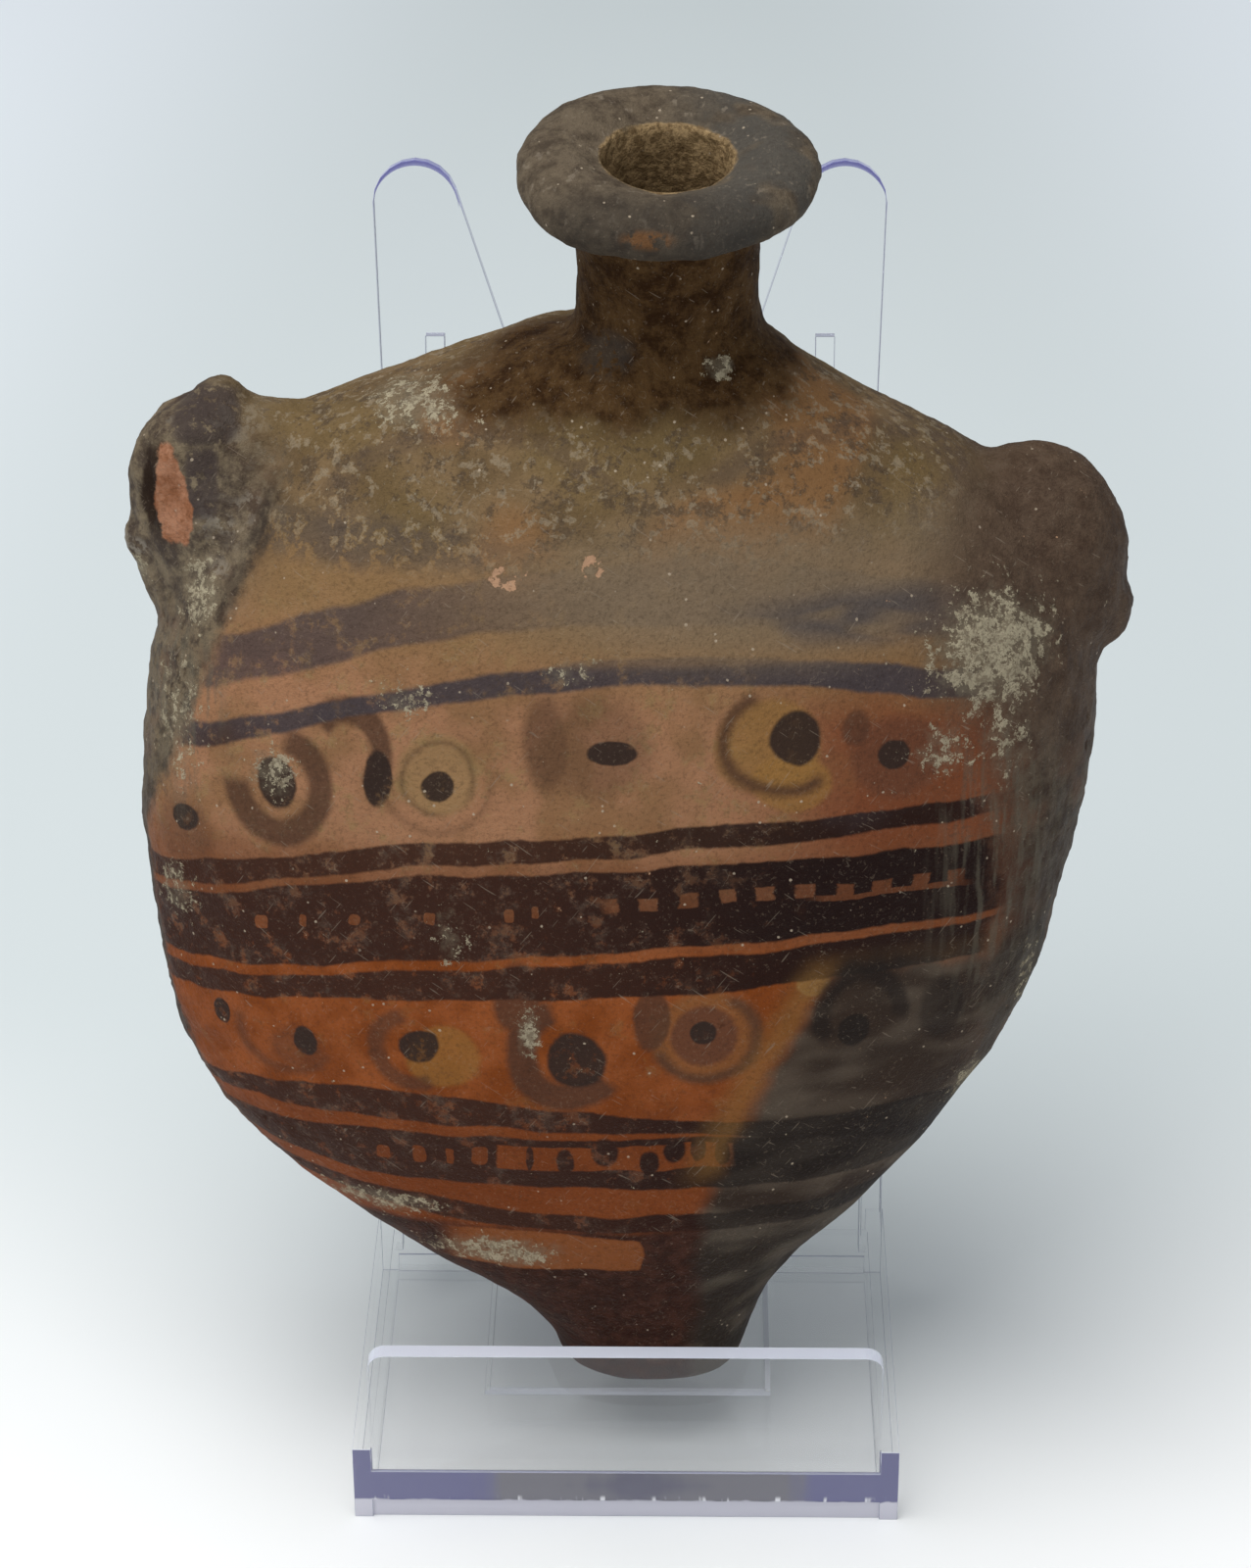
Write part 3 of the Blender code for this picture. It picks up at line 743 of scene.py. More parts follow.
SQUARES = (
    ((-52.4, 80.3), (0.9, 1.1)),
    ((-46.7, 81.2), (0.5, 0.9)),
    ((-39.4, 82.2), (0.8, 0.9)),
    ((-28.7, 83.5), (0.8, 0.9)),
    ((-18.1, 84.5), (0.7, 1)),
    ((-14.5, 84.9), (0.5, 0.9)),
    ((-36.6, 44.5), (1, 1.1)),
    ((-31.5, 44.7), (0.9, 1.5)),
    ((-27.3, 44.8), (0.6, 1.5)),
    ((-22.8, 45), (1.2, 1.7)),
)
TEETH = (
    ((-10.5, 44.5), (1.3, 2.3)),
    ((-4.8, 46.2), (1.8, 2.6)),
    ((1.2, 44.2), (1.4, 2)),
    ((4.6, 46), (1.5, 2)),
    ((8, 46), (1.2, 2.2)),
    ((11.7, 45.6), (1.1, 2.3)),
    ((-15.6, 45), (0.5, 2.3)),
)
GLAZES = (
    ((-27.3, 104.4), (5.6, 5.8), (0.24, 0.165, 0.065), 0.5),
    ((17.2, 108.6), (7.2, 6.6), (0.24, 0.125, 0.036), 0.7),
    ((20.5, 103.6), (5.4, 4), (0.26, 0.13, 0.035), 0.7),
    ((35.1, 106.3), (6.4, 5.8), (0.16, 0.055, 0.026), 0.7),
    ((-27.6, 62), (5.2, 4.8), (0.26, 0.125, 0.03), 0.6),
    ((9.2, 65.8), (7.6, 7.6), (0.21, 0.085, 0.028), 0.7),
    ((8.9, 66.1), (4.8, 4.9), (0.17, 0.055, 0.025), 0.8),
    ((24, 73), (2.4, 1.8), (0.3, 0.16, 0.05), 0.8),
)
CRUSTS = (
    ((48, 119.5), (8.5, 8), 1.12),
    ((50, 108), (4, 8), 0.66),
    ((-64.5, 108), (4, 12), 0.62),
    ((-65.5, 82), (3, 5), 0.8),
    ((-21, 27), (11, 3), 0.95),
    ((-38, 34.5), (10, 2.6), 0.85),
    ((55, 66), (2.5, 10), 0.68),
    ((47, 50), (3, 6), 0.8),
    ((-30.6, 151.3), (8, 3), 0.9),
    ((-60.8, 124.6), (3, 5.5), 0.85),
    ((-70.5, 125.5), (2.4, 3), 0.8),
    ((41, 106), (4.5, 5), 0.7),
    ((-50.6, 102.5), (4, 4), 0.8),
    ((-32, 115), (4, 3), 0.7),
    ((-9, 119), (5, 2.5), 0.65),
    ((-15.5, 66), (1.8, 5), 0.9),
    ((-26, 81), (3, 6), 0.65),
    ((10.6, 157), (2.2, 2), 0.9),
)
PATCH_TOP = ((-30, 31), (-20, 31), (-7.6, 30.6), (0, 29.6), (1.5, 29))
FIRE_EDGE = ((-20, 6), (25, 6.6), (36, 8), (53.5, 14.7), (64.8, 20), (75.4, 25.5))


def topmost(masks):
    """The strongest of several masks at each place."""
    return reduce(Reading.over, masks)


class Skin:
    """The flask's skin while it is painted: its places in millimetres, its grains and its colour.

    Places are true (side, depth, height) or as a shaky hand draws them (x, h). Each coat below
    also keeps here the masks that later coats need.
    """

    def __init__(self, finish):
        self.finish = finish
        self.mix = finish.mix
        self.where = self.flask_places()
        self.side, self.depth, self.height = finish.split(self.where)
        self.drawn = self.shaken(self.shaken(self.where, 0.13, 1.3), 0.8, 0.3)
        self.x, _, self.h = finish.split(self.drawn)
        self.across = self.share_across(self.x)
        self.broad = finish.grain(self.where, 0.045, 0.0)
        self.cloud = finish.grain(self.where, 0.11, 2.0, 0.6)
        self.blotch = finish.grain(self.where, 0.26, 4.0, 0.74)
        self.mottle = finish.grain(self.where, 0.5, 3.0, 0.68)
        self.grit = finish.grain(self.where, 1.6, 2.0, 0.8)
        self.flaky = finish.grain(self.where, 0.55, 4.0, 0.8)
        self.streaks = finish.grain(finish.mapped(self.where, Scale=(1.6, 1, 0.18)), 0.5, 2.0)
        self.coarse = self.blotch + self.grit * 0.3
        self.colour = None

    def vector_work(self, operation, *sockets, out="Vector"):
        settings = {"operation": operation}
        return self.finish.add("ShaderNodeVectorMath", settings, dict(enumerate(sockets)), out)

    def flask_places(self):
        """Places on the piece, turned back upright and measured from the flask's own foot."""
        foot = Matrix.Rotation(FLASK_LEAN, 3, "X") @ FLASK_PLACE
        upright = {"Location": tuple(-foot), "Rotation": (FLASK_LEAN, 0, 0)}
        return self.finish.mapped(self.finish.place(), **upright, Scale=METRES_TO_MM)

    def shaken(self, where, scale, amount):
        """The same places pushed about a little, so that an edge looks drawn by hand."""
        sockets = {"Vector": where, "Scale": scale, "Detail": 0.0}
        push = self.finish.add("ShaderNodeTexNoise", None, sockets, "Color")
        push = self.vector_work("SUBTRACT", push, (0.5, 0.5, 0.5))
        sockets = {0: push, "Scale": amount}
        push = self.finish.add("ShaderNodeVectorMath", {"operation": "SCALE"}, sockets)
        return self.vector_work("ADD", where, push)

    def share_across(self, place):
        return (place + LINE_REACH) / (2 * LINE_REACH)

    def line(self, points, across=None):
        """The height of a painted line through the given points, at each place across the front."""
        rises = [(high[1] - low[1]) / (high[0] - low[0]) for low, high in (points[:2], points[-2:])]
        first = (-LINE_REACH, points[0][1] - rises[0] * (points[0][0] + LINE_REACH))
        last = (LINE_REACH, points[-1][1] + rises[1] * (LINE_REACH - points[-1][0]))
        places = [(self.share_across(x), h / LINE_HEIGHT) for x, h in (first, *points, last)]
        sockets = {"Value": across or self.across}
        return self.finish.add("ShaderNodeFloatCurve", {"points": places}, sockets) * LINE_HEIGHT

    def oval(self, centre, size):
        """Places as seen from an oval's centre, one unit long on its edge."""
        scale = (1 / size[0], 0, 1 / size[1])
        shift = (-centre[0] / size[0], 0, -centre[1] / size[1])
        return self.vector_work("MULTIPLY_ADD", self.drawn, scale, shift)

    def block(self, centre, size, soft=0.3):
        """A patch with four sides and rounded corners."""
        place = self.oval(centre, size)
        squared = self.vector_work("MULTIPLY", place, place)
        reach = self.vector_work("DOT_PRODUCT", squared, squared, out="Value")
        return reach.ramp(1 + soft, 1 - soft)

    def spot(self, centre, size, soft=0.12):
        length = self.vector_work("LENGTH", self.oval(centre, size), out="Value")
        return length.ramp(1 + soft, 1 - soft)

    def curl(self, centre, size, width, facing, opening, soft=0.12):
        """A curled brush stroke: an oval ring of some width, kept where it faces one way."""
        place = self.oval(centre, size)
        length = self.vector_work("LENGTH", place, out="Value")
        turned = (cos(radians(facing)), 0, sin(radians(facing)))
        ahead = self.vector_work("DOT_PRODUCT", place, turned, out="Value")
        kept = (ahead / length).ramp(opening - 0.15, opening + 0.15)
        return abs(length - 1).ramp(width + soft, width - soft) * kept

    def coat(self, tone, mask):
        """Lays a tone over what is there already."""
        self.colour = self.mix(self.colour, tone, mask)


TAN_SLIP = ((0.235, 0.12, 0.056), (0.315, 0.155, 0.08))
OCHRE_TAN = (0.26, 0.165, 0.07)
BROWN_TAN = (0.16, 0.044, 0.016)
DULL_TAN = (0.215, 0.128, 0.055)
RED_SLIP = ((0.185, 0.044, 0.007), (0.265, 0.072, 0.018))
RUSTY_RED = (0.21, 0.09, 0.028)
DEEP_RED = (0.15, 0.036, 0.008)
SLIP_JOIN = (0.14, 0.055, 0.026)


def lay_slip(skin):
    """Tan slip above and red slip below, both clouded, over the whole flask."""
    mix, cloud, blotch, side, height = skin.mix, skin.cloud, skin.blotch, skin.side, skin.height
    tan = mix(*TAN_SLIP, cloud.ramp(0.38, 0.62))
    tan = mix(tan, OCHRE_TAN, blotch.ramp(0.52, 0.68) * 0.6)
    tan = mix(tan, BROWN_TAN, (side + cloud.swing(20)).ramp(8, 34) * 0.92)
    tan = mix(tan, DULL_TAN, (height + cloud.swing(8) + side * 0.08).ramp(112, 124) * 0.8)
    red = mix(*RED_SLIP, cloud.ramp(0.38, 0.62))
    red = mix(red, RUSTY_RED, blotch.ramp(0.55, 0.7) * 0.5)
    red = mix(red, DEEP_RED, (height + cloud.swing(8)).ramp(58, 48) * 0.7)
    skin.colour = mix(red, tan, (height + cloud.swing(14)).ramp(78, 98))
    skin.coat(SLIP_JOIN, height.ramp(76, 82) * height.ramp(96, 90) * 0.5)


PANEL_LEFT = 71.0
PANEL_RIGHT = 49.5
PANEL_SLANTS_FROM = 88
BROWN_WASH = (0.066, 0.031, 0.019)
BLACK_PAINT = ((0.04, 0.015, 0.009), (0.013, 0.005, 0.004))
FADED_BLACK = (0.056, 0.047, 0.052)
WORN_BLACK = (0.1, 0.068, 0.05)
DOT_BLACK = (0.03, 0.018, 0.014)


def dark_bands(skin):
    """All the dark bands, less the light squares and comb, with the teeth in the lowest row."""
    x, h = skin.x, skin.h

    def band(top, bottom, soft, strength):
        upper = (skin.line(top) - h).ramp(-soft, soft)
        lower = (h - skin.line(bottom)).ramp(-soft, soft)
        return upper * lower * strength

    squares = topmost(skin.block(centre, size) for centre, size in SQUARES)
    comb_line = skin.line(COMB_LINE)
    comb_wave = ((x * 1.18).work("SINE") + skin.mottle.swing(1.6)).ramp(-0.1, 0.35)
    comb_row = abs(h - comb_line).ramp(1.15, 0.85) * comb_wave * x.ramp(-6, -3) * x.ramp(47, 43)
    comb_base = abs(h - (comb_line - 1.0)).ramp(0.5, 0.3) * x.ramp(22, 26) * x.ramp(47, 43)
    teeth_row = abs(h - TEETH_HEIGHT).ramp(2.25, 1.95) * x.ramp(-20.5, -20) * x.ramp(13.5, 13.0)
    gaps = topmost((squares * 0.75, comb_row * 0.65, comb_base * 0.6, teeth_row * 0.95))
    bands = topmost(band(*row) for row in BANDS) * (1 - gaps)
    return topmost([bands, *(skin.spot(centre, size, 0.15) for centre, size in TEETH)])


def paint_front(skin):
    """Glazes, brown washes, black bands and dots, kept to the painted panel and rubbed with wear."""
    mix, cloud, blotch, mottle = skin.mix, skin.cloud, skin.blotch, skin.mottle
    side, depth, height = skin.side, skin.depth, skin.height
    skin.front = (depth + side.ramp(-34, -62) * 6.5 + mottle.swing(5)).ramp(-1.5, -4.5)
    slant = (height - PANEL_SLANTS_FROM).over(0) * 0.42
    left = (side + PANEL_LEFT - slant + blotch.swing(5)).ramp(-1.2, 1.2)
    right = (side - PANEL_RIGHT + cloud.swing(12) + blotch.swing(8)).ramp(5.0, -4.0)
    skin.panel = skin.front * left * right
    painted = skin.panel * height.ramp(28, 30) * height.ramp(141, 136)
    skin.worn = (blotch + mottle * 0.6).ramp(0.84, 0.98) * side.ramp(30, -10)

    dark = dark_bands(skin)
    washes = [skin.spot(*shape) * strength for *shape, strength in BROWN_SPOTS]
    curls = [skin.curl(*shape) * strength for *shape, strength in CURLS]
    brown = topmost(washes + curls)
    dots = topmost(skin.spot(centre, size, 0.1) for centre, size in DOTS)
    for centre, size, glaze, strength in GLAZES:
        skin.coat(glaze, skin.spot(centre, size) * painted * strength)
    skin.coat(BROWN_WASH, brown.within(1) * painted * 0.82)
    black = mix(*BLACK_PAINT, side.ramp(-25, 25))
    black = mix(black, FADED_BLACK, (height + cloud.swing(20)).ramp(96, 112) * 0.85)
    black = mix(black, WORN_BLACK, skin.coarse.ramp(0.64, 0.82) * side.ramp(25, -15) * 0.55)
    fade = (side.ramp(-8, -45) * 0.4 + 0.6).over(height.ramp(122, 119))
    skin.coat(black, dark * painted * fade * (1 - skin.worn * 0.4))
    skin.coat(DOT_BLACK, dots * painted * (0.96 - skin.worn * 0.3))
    skin.marks = dark.over(dots).over(brown) * painted


PATCH_FOOT = 24.2
PATCH_MIDDLE = 27.2
FOOT_SLIP = ((0.028, 0.01, 0.006), (0.056, 0.021, 0.013))
LOW_PATCH = (0.205, 0.066, 0.02)


def paint_foot(skin):
    """The foot's dark slip, which stops round a light patch low on the left of the front."""
    x, h, front = skin.x, skin.h, skin.front
    patch = (skin.line(PATCH_TOP) - h).ramp(-0.3, 0.3) * (h - PATCH_FOOT).ramp(-0.3, 0.3)
    patch = patch * (x + abs(h - PATCH_MIDDLE) * 0.25).ramp(0.9, 0.2) * x.ramp(-30, -24) * front
    slip = skin.mix(*FOOT_SLIP, skin.mottle.ramp(0.4, 0.65))
    low = (skin.height + skin.cloud.swing(2)).ramp(32.5, 30.5)
    skin.foot = low * front.over(skin.height.ramp(18, 14))
    skin.coat(slip, skin.foot * (1 - patch))
    skin.coat(LOW_PATCH, patch * (1 - skin.worn * 0.3))


BUFF_CLAY = ((0.12, 0.078, 0.038), (0.18, 0.118, 0.06))
BUFF_OLIVE = (0.135, 0.092, 0.036)
BUFF_ORANGE = (0.225, 0.108, 0.042)
BUFF_DARK = (0.06, 0.043, 0.03)
BUFF_PALE = (0.31, 0.25, 0.17)
ARC_BROWN = (0.078, 0.055, 0.042)
BAND_REMAINS = (0.085, 0.065, 0.052)
REMAINS_PLACE = ((-40, 134.5), (22, 3.2), 0.5)
SHOULDER_ARCS = (
    ((-22, 137), (20, 12), 0.09, 120, -0.1, 0.06),
    ((26, 137), (19, 11), 0.1, 60, 0, 0.06),
)


def weather_shoulder(skin):
    """Bare buff clay round the neck, where the slip is gone and only traces of two arcs are left."""
    mix, broad, blotch, mottle, grit = skin.mix, skin.broad, skin.blotch, skin.mottle, skin.grit
    buff = mix(*BUFF_CLAY, skin.cloud.ramp(0.40, 0.62))
    buff = mix(buff, BUFF_OLIVE, broad.ramp(0.50, 0.62) * 0.6)
    buff = mix(buff, BUFF_ORANGE, broad.ramp(0.49, 0.38) * 0.7)
    buff = mix(buff, BUFF_DARK, (blotch + grit * 0.2).ramp(0.60, 0.72) * 0.7)
    buff = mix(buff, BUFF_PALE, (mottle - grit * 0.35).ramp(0.27, 0.19) * 0.55)
    arcs = topmost(skin.curl(*arc) for arc in SHOULDER_ARCS)
    buff = mix(buff, ARC_BROWN, arcs * mottle.ramp(0.40, 0.52) * 0.45)
    skin.shoulder = (skin.height + skin.cloud.swing(12)).ramp(129, 137)
    skin.coat(buff, skin.shoulder * 0.92)
    skin.coat(BAND_REMAINS, skin.spot(*REMAINS_PLACE) * mottle.ramp(0.42, 0.5) * 0.6)


SMOKE_BROWN = (0.178, 0.13, 0.082)
SOOT_GREY = (0.062, 0.054, 0.056)
FIRE_GLOW = (0.2, 0.1, 0.028)
FIRE_CLOUD = ((0.026, 0.019, 0.014), (0.08, 0.063, 0.046))
BURNT_PAINT = (0.012, 0.008, 0.007)
SMOKE_PLACES = (((16, 129), (34, 8.5), 0.5), ((44, 130), (16, 9), 0.5))
SOOT_PLACE = ((34, 125.5), (18, 3.2), 0.6)


def smoke(skin):
    """Smoke across the right shoulder, and the fire cloud with its glowing edge low on the right."""
    cloud, height = skin.cloud, skin.height
    smoke_grain = skin.finish.grain(skin.finish.mapped(skin.where, Scale=(0.5, 1, 1.6)), 0.13, 1.0)
    skin.coat(SMOKE_BROWN, topmost(skin.spot(*place) for place in SMOKE_PLACES) * 0.72)
    skin.coat(SOOT_GREY, skin.spot(*SOOT_PLACE) * smoke_grain.ramp(0.35, 0.5) * 0.8)

    inward = skin.side - skin.line(FIRE_EDGE, skin.share_across(height)) + cloud.swing(5)
    fire = inward.ramp(-0.5, 3.5) * (height + cloud.swing(8)).ramp(80, 73)
    glow = inward.ramp(-6, -1) * height.ramp(79, 74) * height.ramp(38, 44) * (1 - fire)
    skin.coat(FIRE_GLOW, glow * 0.55)
    burnt = skin.mix(*FIRE_CLOUD, (smoke_grain + skin.grit * 0.2).ramp(0.5, 0.76))
    burnt = skin.mix(burnt, BURNT_PAINT, skin.marks * 0.7)
    skin.coat(burnt, fire * 0.96)


EDGE_CLAY = ((0.034, 0.025, 0.018), (0.098, 0.078, 0.054))
EDGE_PALE = (0.19, 0.145, 0.09)
EDGE_LOW = (0.03, 0.022, 0.017)
EDGE_RUST = (0.1, 0.055, 0.034)
STREAKY_FILM = (0.115, 0.1, 0.072)
FILM_PLACES = (((51, 92), (9, 26), 0.7), ((-64, 112), (6, 15), 0.7))


def weather_edges(skin):
    """Dark, dusty clay on the sides and back, and streaks that run down over the panel's ends."""
    mix, cloud, side, height = skin.mix, skin.cloud, skin.side, skin.height
    clay = mix(*EDGE_CLAY, skin.coarse.ramp(0.52, 0.80))
    pale = side.ramp(-50, -60) * height.ramp(92, 106) * skin.mottle.ramp(0.38, 0.56)
    clay = mix(clay, EDGE_PALE, pale * 0.7)
    clay = mix(clay, EDGE_LOW, (height + cloud.swing(20)).ramp(98, 80) * 0.6)
    clay = mix(clay, EDGE_RUST, cloud.ramp(0.5, 0.65) * 0.6)
    outside = (1 - skin.panel) * (height + cloud.swing(10)).ramp(146, 136)
    skin.coat(clay, outside * (1 - skin.foot) * 0.94)
    film = topmost(skin.spot(*place) for place in FILM_PLACES)
    skin.coat(STREAKY_FILM, film * (skin.streaks + skin.grit * 0.3).ramp(0.60, 0.82) * 0.55)


LUG_CLAY = ((0.05, 0.03, 0.02), (0.105, 0.068, 0.045))
BARK_CLAY = ((0.055, 0.04, 0.032), (0.2, 0.155, 0.1))
BARK_PALE = (0.29, 0.26, 0.21)
LUG_SOOT = (0.055, 0.041, 0.037)
CREVICE_SHADE = (0.022, 0.012, 0.008)
SCAR_CLAY = ((0.26, 0.105, 0.05), (0.37, 0.175, 0.1))
RIGHT_LUG = ((60, 127), (20, 24), 0.35)
LEFT_LUG = ((-70, 139), (18, 18), 0.4)
LUG_SOOT_PLACES = (((-59.8, 148), (4.4, 3.4), 0.7), ((-60.4, 139.6), (2.3, 5), 0.7))
SCAR_MIDDLE = 136
SCAR_FOOT = 131.4
SCAR_TOP = 144.4


def paint_lugs(skin):
    """A dark right lug, and a left one with bark-like clay, two sooty patches, a red break and painted
    shade in the crevice beside it.
    """
    mix, blotch, mottle, depth, x, h = skin.mix, skin.blotch, skin.mottle, skin.depth, skin.x, skin.h
    right = mix(*LUG_CLAY, (blotch * 0.6 + skin.grit * 0.6).ramp(0.45, 0.75))
    skin.coat(right, skin.spot(*RIGHT_LUG) * 0.92)
    bark = mix(*BARK_CLAY, (blotch + skin.grit * 0.25).ramp(0.5, 0.78))
    bark = mix(bark, BARK_PALE, skin.cloud.ramp(0.55, 0.66) * mottle.ramp(0.45, 0.55) * 0.7)
    skin.coat(bark, skin.spot(*LEFT_LUG) * 0.9)
    soot = topmost(skin.block(*place) for place in LUG_SOOT_PLACES)
    soot = soot * mottle.ramp(0.38, 0.46) * (depth + mottle.swing(5)).ramp(2, -2)
    skin.coat(LUG_SOOT, soot * 0.85)

    facing = depth.ramp(-2, -5)
    across = x + h * 0.06 + 56.4 + mottle.swing(1.8)
    half = 2.9 - abs(h - SCAR_MIDDLE) * 0.24
    # The crevice beside the break is painted dark: painted shade in the recess.
    crevice = (1.1 - abs(across + half + 1.0)).ramp(-0.5, 0.5) * h.ramp(129.5, 133) * h.ramp(146, 143.5)
    skin.coat(CREVICE_SHADE, crevice * facing * 0.92)
    scar = (half - abs(across)).ramp(-0.25, 0.25) * (h + mottle.swing(3)).ramp(SCAR_FOOT - 0.8, SCAR_FOOT)
    scar = scar * (h + mottle.swing(2)).ramp(SCAR_TOP + 0.8, SCAR_TOP)
    skin.coat(mix(*SCAR_CLAY, blotch.ramp(0.4, 0.6)), scar * facing * 0.95)


NECK_CLAY = ((0.026, 0.0105, 0.0025), (0.08, 0.042, 0.015))
NECK_BLOT = (0.044, 0.037, 0.031)
RIM_CLAY = ((0.06, 0.044, 0.03), (0.128, 0.098, 0.066))
RIM_GREY = (0.07, 0.064, 0.055)
RIM_PALE = (0.22, 0.18, 0.135)
RIM_FRONT_SHADE = (0.03, 0.026, 0.022)
RIM_RUST = (0.16, 0.072, 0.026)
RAW_CLAY = ((0.15, 0.096, 0.045), (0.37, 0.255, 0.13))
BLOT_PLACE = ((-4.6, 158.5), (3.4, 2.6), 0.5)
RUST_PLACE = ((1, 177.8), (2.9, 1.2), 0.5)
RIM_FOOT = 25.0
MOUTH_RADIUS = 9.5


def paint_neck(skin):
    """A brown neck, a smoke-stained rim with pale streaks and painted shade on its front, and raw clay
    with a potter's waves in the mouth.
    """
    mix, cloud, blotch, mottle, grit = skin.mix, skin.cloud, skin.blotch, skin.mottle, skin.grit
    side, depth, height = skin.side, skin.depth, skin.height
    root = neck_place().translation
    up_neck = (height - root.z) * cos(NECK_TIP) - depth * sin(NECK_TIP)
    neck = mix(*NECK_CLAY, skin.coarse.ramp(0.5, 0.78))
    skin.coat(neck, (up_neck + cloud.swing(7)).ramp(0.5, 4.5))
    skin.coat(NECK_BLOT, skin.spot(*BLOT_PLACE) * mottle.ramp(0.38, 0.48) * 0.65)

    rim = mix(*RIM_CLAY, skin.coarse.ramp(0.48, 0.76))
    rim = mix(rim, RIM_GREY, side.ramp(0, 14) * cloud.ramp(0.36, 0.52) * 0.85)
    rim = mix(rim, RIM_PALE, skin.streaks.ramp(0.56, 0.66) * mottle.ramp(0.5, 0.6) * 0.5)
    # The rim's front is painted darker: painted shade where the overhead light reaches it less, with
    # smoke on it too.
    rim = mix(rim, RIM_FRONT_SHADE, depth.ramp(-19, -27) * 0.6)
    skin.rim = (up_neck + mottle.swing(1.2)).ramp(RIM_FOOT, RIM_FOOT + 1)
    skin.coat(rim, skin.rim)
    skin.coat(RIM_RUST, skin.spot(*RUST_PLACE) * depth.ramp(-20, -24) * mottle.ramp(0.38, 0.5) * 0.7)

    aside = side - root.x
    ahead = depth * cos(NECK_TIP) + (height - root.z) * sin(NECK_TIP)
    from_axis = (aside * aside + ahead * ahead).work("SQRT") + mottle.swing(1.2)
    inside = from_axis.ramp(MOUTH_RADIUS, MOUTH_RADIUS - 0.6) * up_neck.ramp(20, 22)
    wave = (up_neck * 2.1 + blotch.swing(30) + cloud.swing(40)).work("SINE")
    raw = mix(*RAW_CLAY, (wave * 0.12 + mottle * 0.6 + grit * 0.4).ramp(0.30, 0.76))
    skin.coat(raw, inside)


CHIP_CLAY = (0.4, 0.235, 0.14)
CRUST_HAZE = (0.165, 0.138, 0.095)
CRUST = ((0.19, 0.155, 0.105), (0.44, 0.385, 0.265))
SPECK_PALE = (0.42, 0.34, 0.25)
SCRATCH_PALE = (0.27, 0.215, 0.16)
GRIT_DARK = (0.025, 0.014, 0.009)
GRIT_PALE = (0.3, 0.225, 0.155)
CHIPS = (((-18.2, 131.1), (3.2, 1.9), 0.4), ((-6.3, 132.5), (1.6, 1.7), 0.4))
STROKE_TURNS = (34, -52)


def age(skin):
    """Chips, lime crusts with a haze round them, pale specks, fine scratches and coarse grit."""
    finish, where, blotch, mottle, grit = skin.finish, skin.where, skin.blotch, skin.mottle, skin.grit
    chips = topmost(skin.spot(*chip) for chip in CHIPS) * 0.4 + mottle.swing(1.5)
    skin.coat(CHIP_CLAY, chips.ramp(0.34, 0.42) * skin.front)

    areas = topmost(skin.spot(centre, size, 0.8) * strength for centre, size, strength in CRUSTS)
    areas = areas * skin.depth.ramp(5, -5)
    skin.crust = (skin.flaky + areas * 0.25).ramp(0.695, 0.735)
    skin.coat(CRUST_HAZE, (areas + mottle.swing(1.2)).ramp(0.45, 1.0) * 0.55)
    skin.coat(skin.mix(*CRUST, (grit + mottle * 0.5).ramp(0.60, 0.88)), skin.crust * 0.8)

    cells = {"Vector": where, "Scale": 0.42, "Randomness": 1.0}
    from_speck = finish.add("ShaderNodeTexVoronoi", {"feature": "F1"}, cells) + grit.swing(0.12)
    specks = from_speck.ramp(0.10, 0.06) * finish.grain(where, 0.21, 0.0).ramp(0.47, 0.56)
    skin.coat(SPECK_PALE, specks * 0.75)
    hairs = abs(finish.grain(where, 0.6, 1.0) - 0.5).ramp(0.012, 0.003)
    scratches = hairs * blotch.ramp(0.55, 0.60) * 0.7
    for turn in STROKE_TURNS:
        sockets = {"Vector": where, "Rotation": (0, radians(turn), 0), "Scale": (4.5, 1, 0.26)}
        strokes = finish.add("ShaderNodeMapping", {"vector_type": "TEXTURE"}, sockets)
        scratches = scratches.over(finish.grain(strokes, 1.0, 0.0).ramp(0.80, 0.83))
    skin.coat(SCRATCH_PALE, scratches * (1 - skin.rim) * 0.34)
    skin.coat(GRIT_DARK, (grit - mottle * 0.2).ramp(0.42, 0.55) * 0.24)
    skin.coat(GRIT_PALE, (grit - skin.cloud * 0.1).ramp(0.36, 0.24) * 0.16)


POTTERY_IOR = 1.45
POTTERY_GLOSS = 0.08
FLAKE_DEPTH = 0.9 * MM
COATS = (
    lay_slip, paint_front, paint_foot, weather_shoulder, smoke, weather_edges, paint_lugs,
    paint_neck, age,
)


def painted_finish():
    """Slip, paint, smoke, wear and crust on the flask's skin, in the order they came."""
    finish = Finish("painted_pottery")
    skin = Skin(finish)
    for coat in COATS:
        coat(skin)
    rough = 0.56 + skin.shoulder * 0.2 + skin.crust * 0.3 + skin.mottle.swing(0.25)
    relief = {"Strength": 0.65, "Distance": FLAKE_DEPTH, "Height": skin.flaky}
    bump = finish.add("ShaderNodeBump", None, relief)
    sockets = {"Base Color": skin.colour, "Roughness": rough, "IOR": POTTERY_IOR, "Normal": bump}
    return finish.close(finish.shader({**sockets, "Specular IOR Level": POTTERY_GLOSS}))


flask = flask_piece()
flask.data.materials.append(painted_finish())
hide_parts("painted_flask")
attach(flask, "root")

# The flask stands on a pale tabletop that runs on behind it as a backdrop. Its tone is
# painted: white in front as painted light, greyer behind as painted shade. Light is
# soft and comes from overhead, with a fill from the camera's side, as in a light tent.

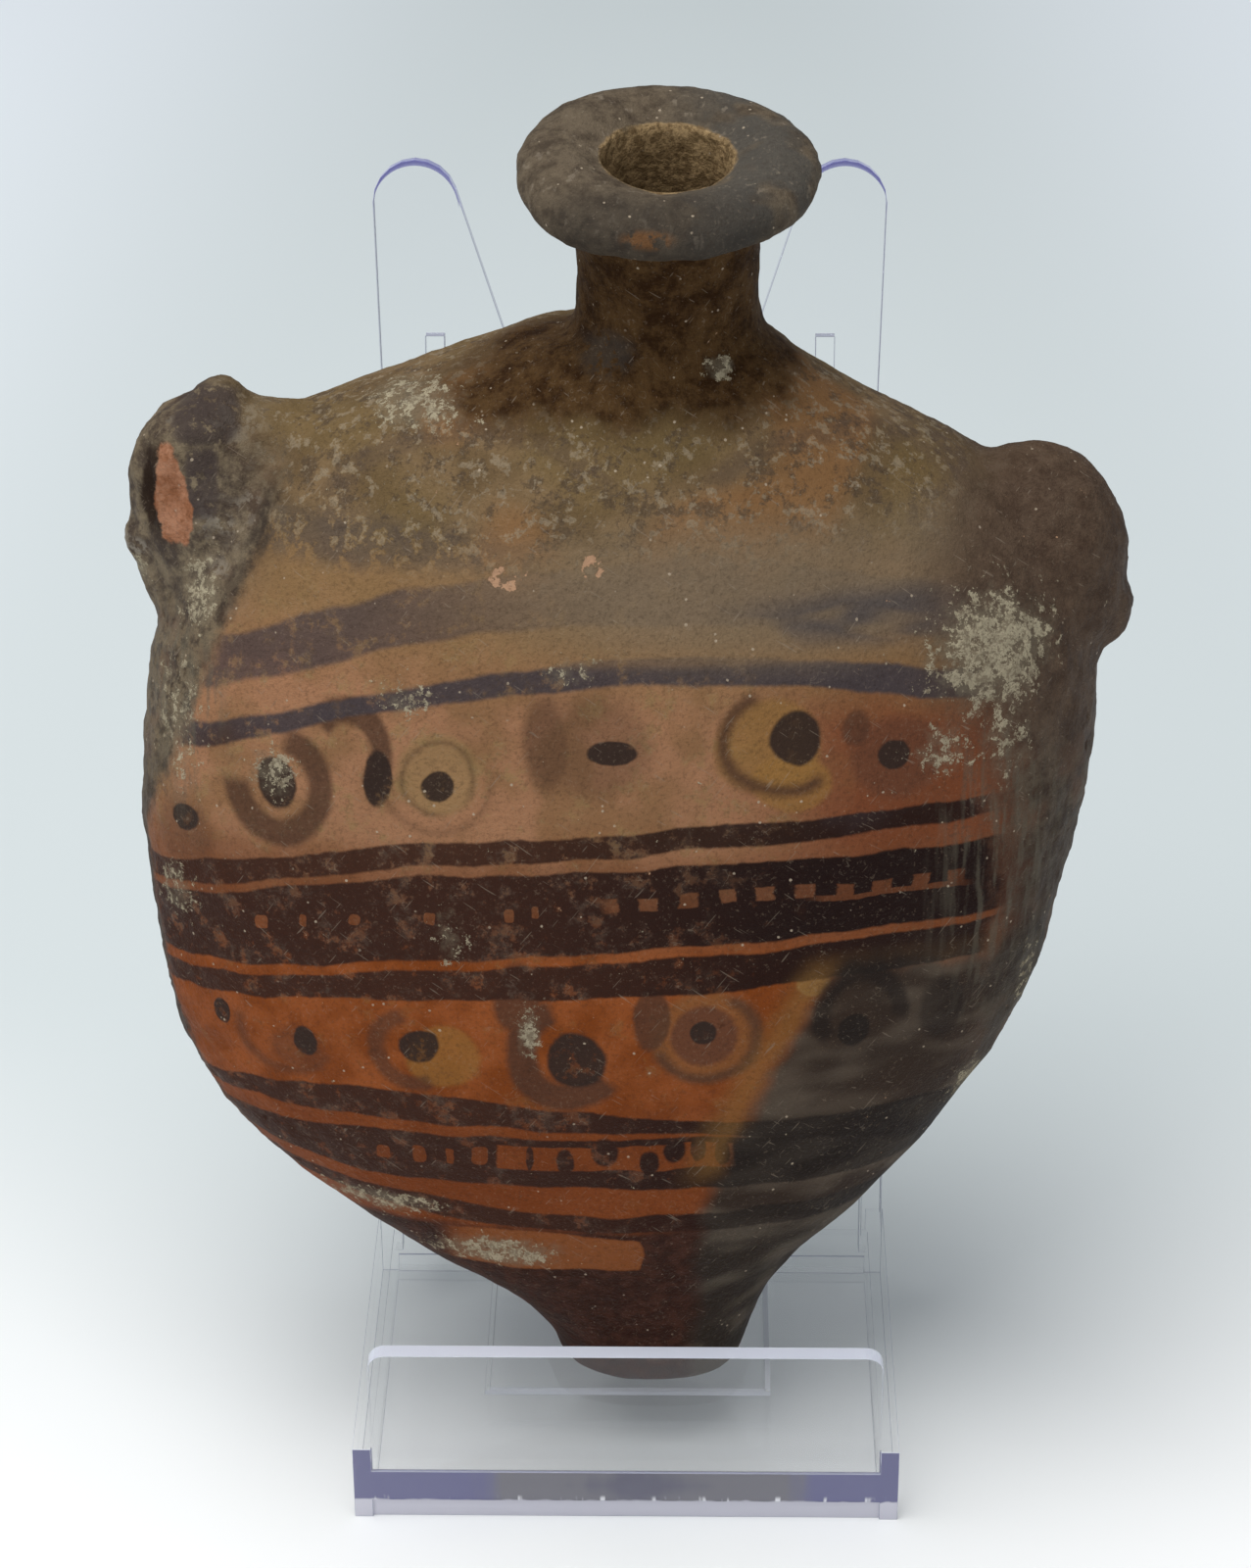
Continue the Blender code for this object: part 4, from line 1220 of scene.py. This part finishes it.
FLOOR_HALF = 3.0
FLOOR_PAINTED_LIGHT = (1, 1, 1)
FLOOR_PAINTED_SHADE = (0.68, 0.735, 0.745)
PALE_BLUE = (0.9, 0.95, 1)
WORLD_STRENGTH = 0.45
LIGHTS = (
    ("overhead", (-0.28, -0.22, 1.2), (0, -0.02, 0.08), (1, 1), 12.5, (1, 0.99, 0.97)),
    ("front_fill", (-0.3, -1.3, 0.9), (0, 0, 0.08), (1.2, 0.8), 1.2, (1, 0.98, 0.95)),
)


def floor_finish():
    """White in front as painted light, greyer behind the easel as painted shade, and pale bluish out to
    the sides.
    """
    finish = Finish("pale_table")
    x, y, _ = finish.split(finish.place())
    # White in front is painted light, and grey behind the easel is painted shade.
    tone = finish.mix(FLOOR_PAINTED_LIGHT, FLOOR_PAINTED_SHADE, (y - abs(x) * 0.45).ramp(-0.13, 0.05))
    tone = finish.mix(tone, PALE_BLUE, (abs(x) * 1.2 + y * 0.25).ramp(0.18, 0.42))
    return finish.close(finish.shader({"Base Color": tone, "Roughness": 0.75}))


def pale_floor():
    builder = bmesh.new()
    bmesh.ops.create_grid(builder, x_segments=1, y_segments=1, size=FLOOR_HALF)
    piece = object_from("pale_floor", builder)
    piece.data.materials.append(floor_finish())
    return piece


def soft_light(name, place, aim, size, power, colour):
    data = bpy.data.lights.new(name, "AREA")
    data.shape = "RECTANGLE"
    data.size, data.size_y = size
    data.energy = power
    data.color = colour
    lamp = bpy.data.objects.new(name, data)
    lamp.location = place
    lamp.rotation_euler = (Vector(aim) - Vector(place)).to_track_quat("-Z", "Y").to_euler()
    bpy.context.collection.objects.link(lamp)


pale_floor()
for light in LIGHTS:
    soft_light(*light)
world = bpy.data.worlds.new("studio")
world.use_nodes = True
background = world.node_tree.nodes["Background"].inputs
background["Color"].default_value = (*PALE_BLUE, 1)
background["Strength"].default_value = WORLD_STRENGTH
bpy.context.scene.world = world
bpy.context.scene.view_settings.view_transform = "Standard"

# The camera stands in front of the easel and looks down at it by thirty degrees.

CAMERA_PLACE = Vector((8.12, -502.05, 383.04)) * MM
CAMERA_RIGHT = Vector((0.99988, 0.0147, -0.00453))
CAMERA_UP = Vector((-0.00342, 0.50001, 0.86601))
CAMERA_LENS = 90
CAMERA_SENSOR = 36

camera_data = bpy.data.cameras.new("camera")
camera_data.lens = CAMERA_LENS
camera_data.sensor_width = CAMERA_SENSOR
camera = bpy.data.objects.new("camera", camera_data)
turned = Matrix((CAMERA_RIGHT, CAMERA_UP, CAMERA_RIGHT.cross(CAMERA_UP))).transposed()
camera.matrix_world = Matrix.Translation(CAMERA_PLACE) @ turned.to_4x4()
bpy.context.collection.objects.link(camera)
bpy.context.scene.camera = camera
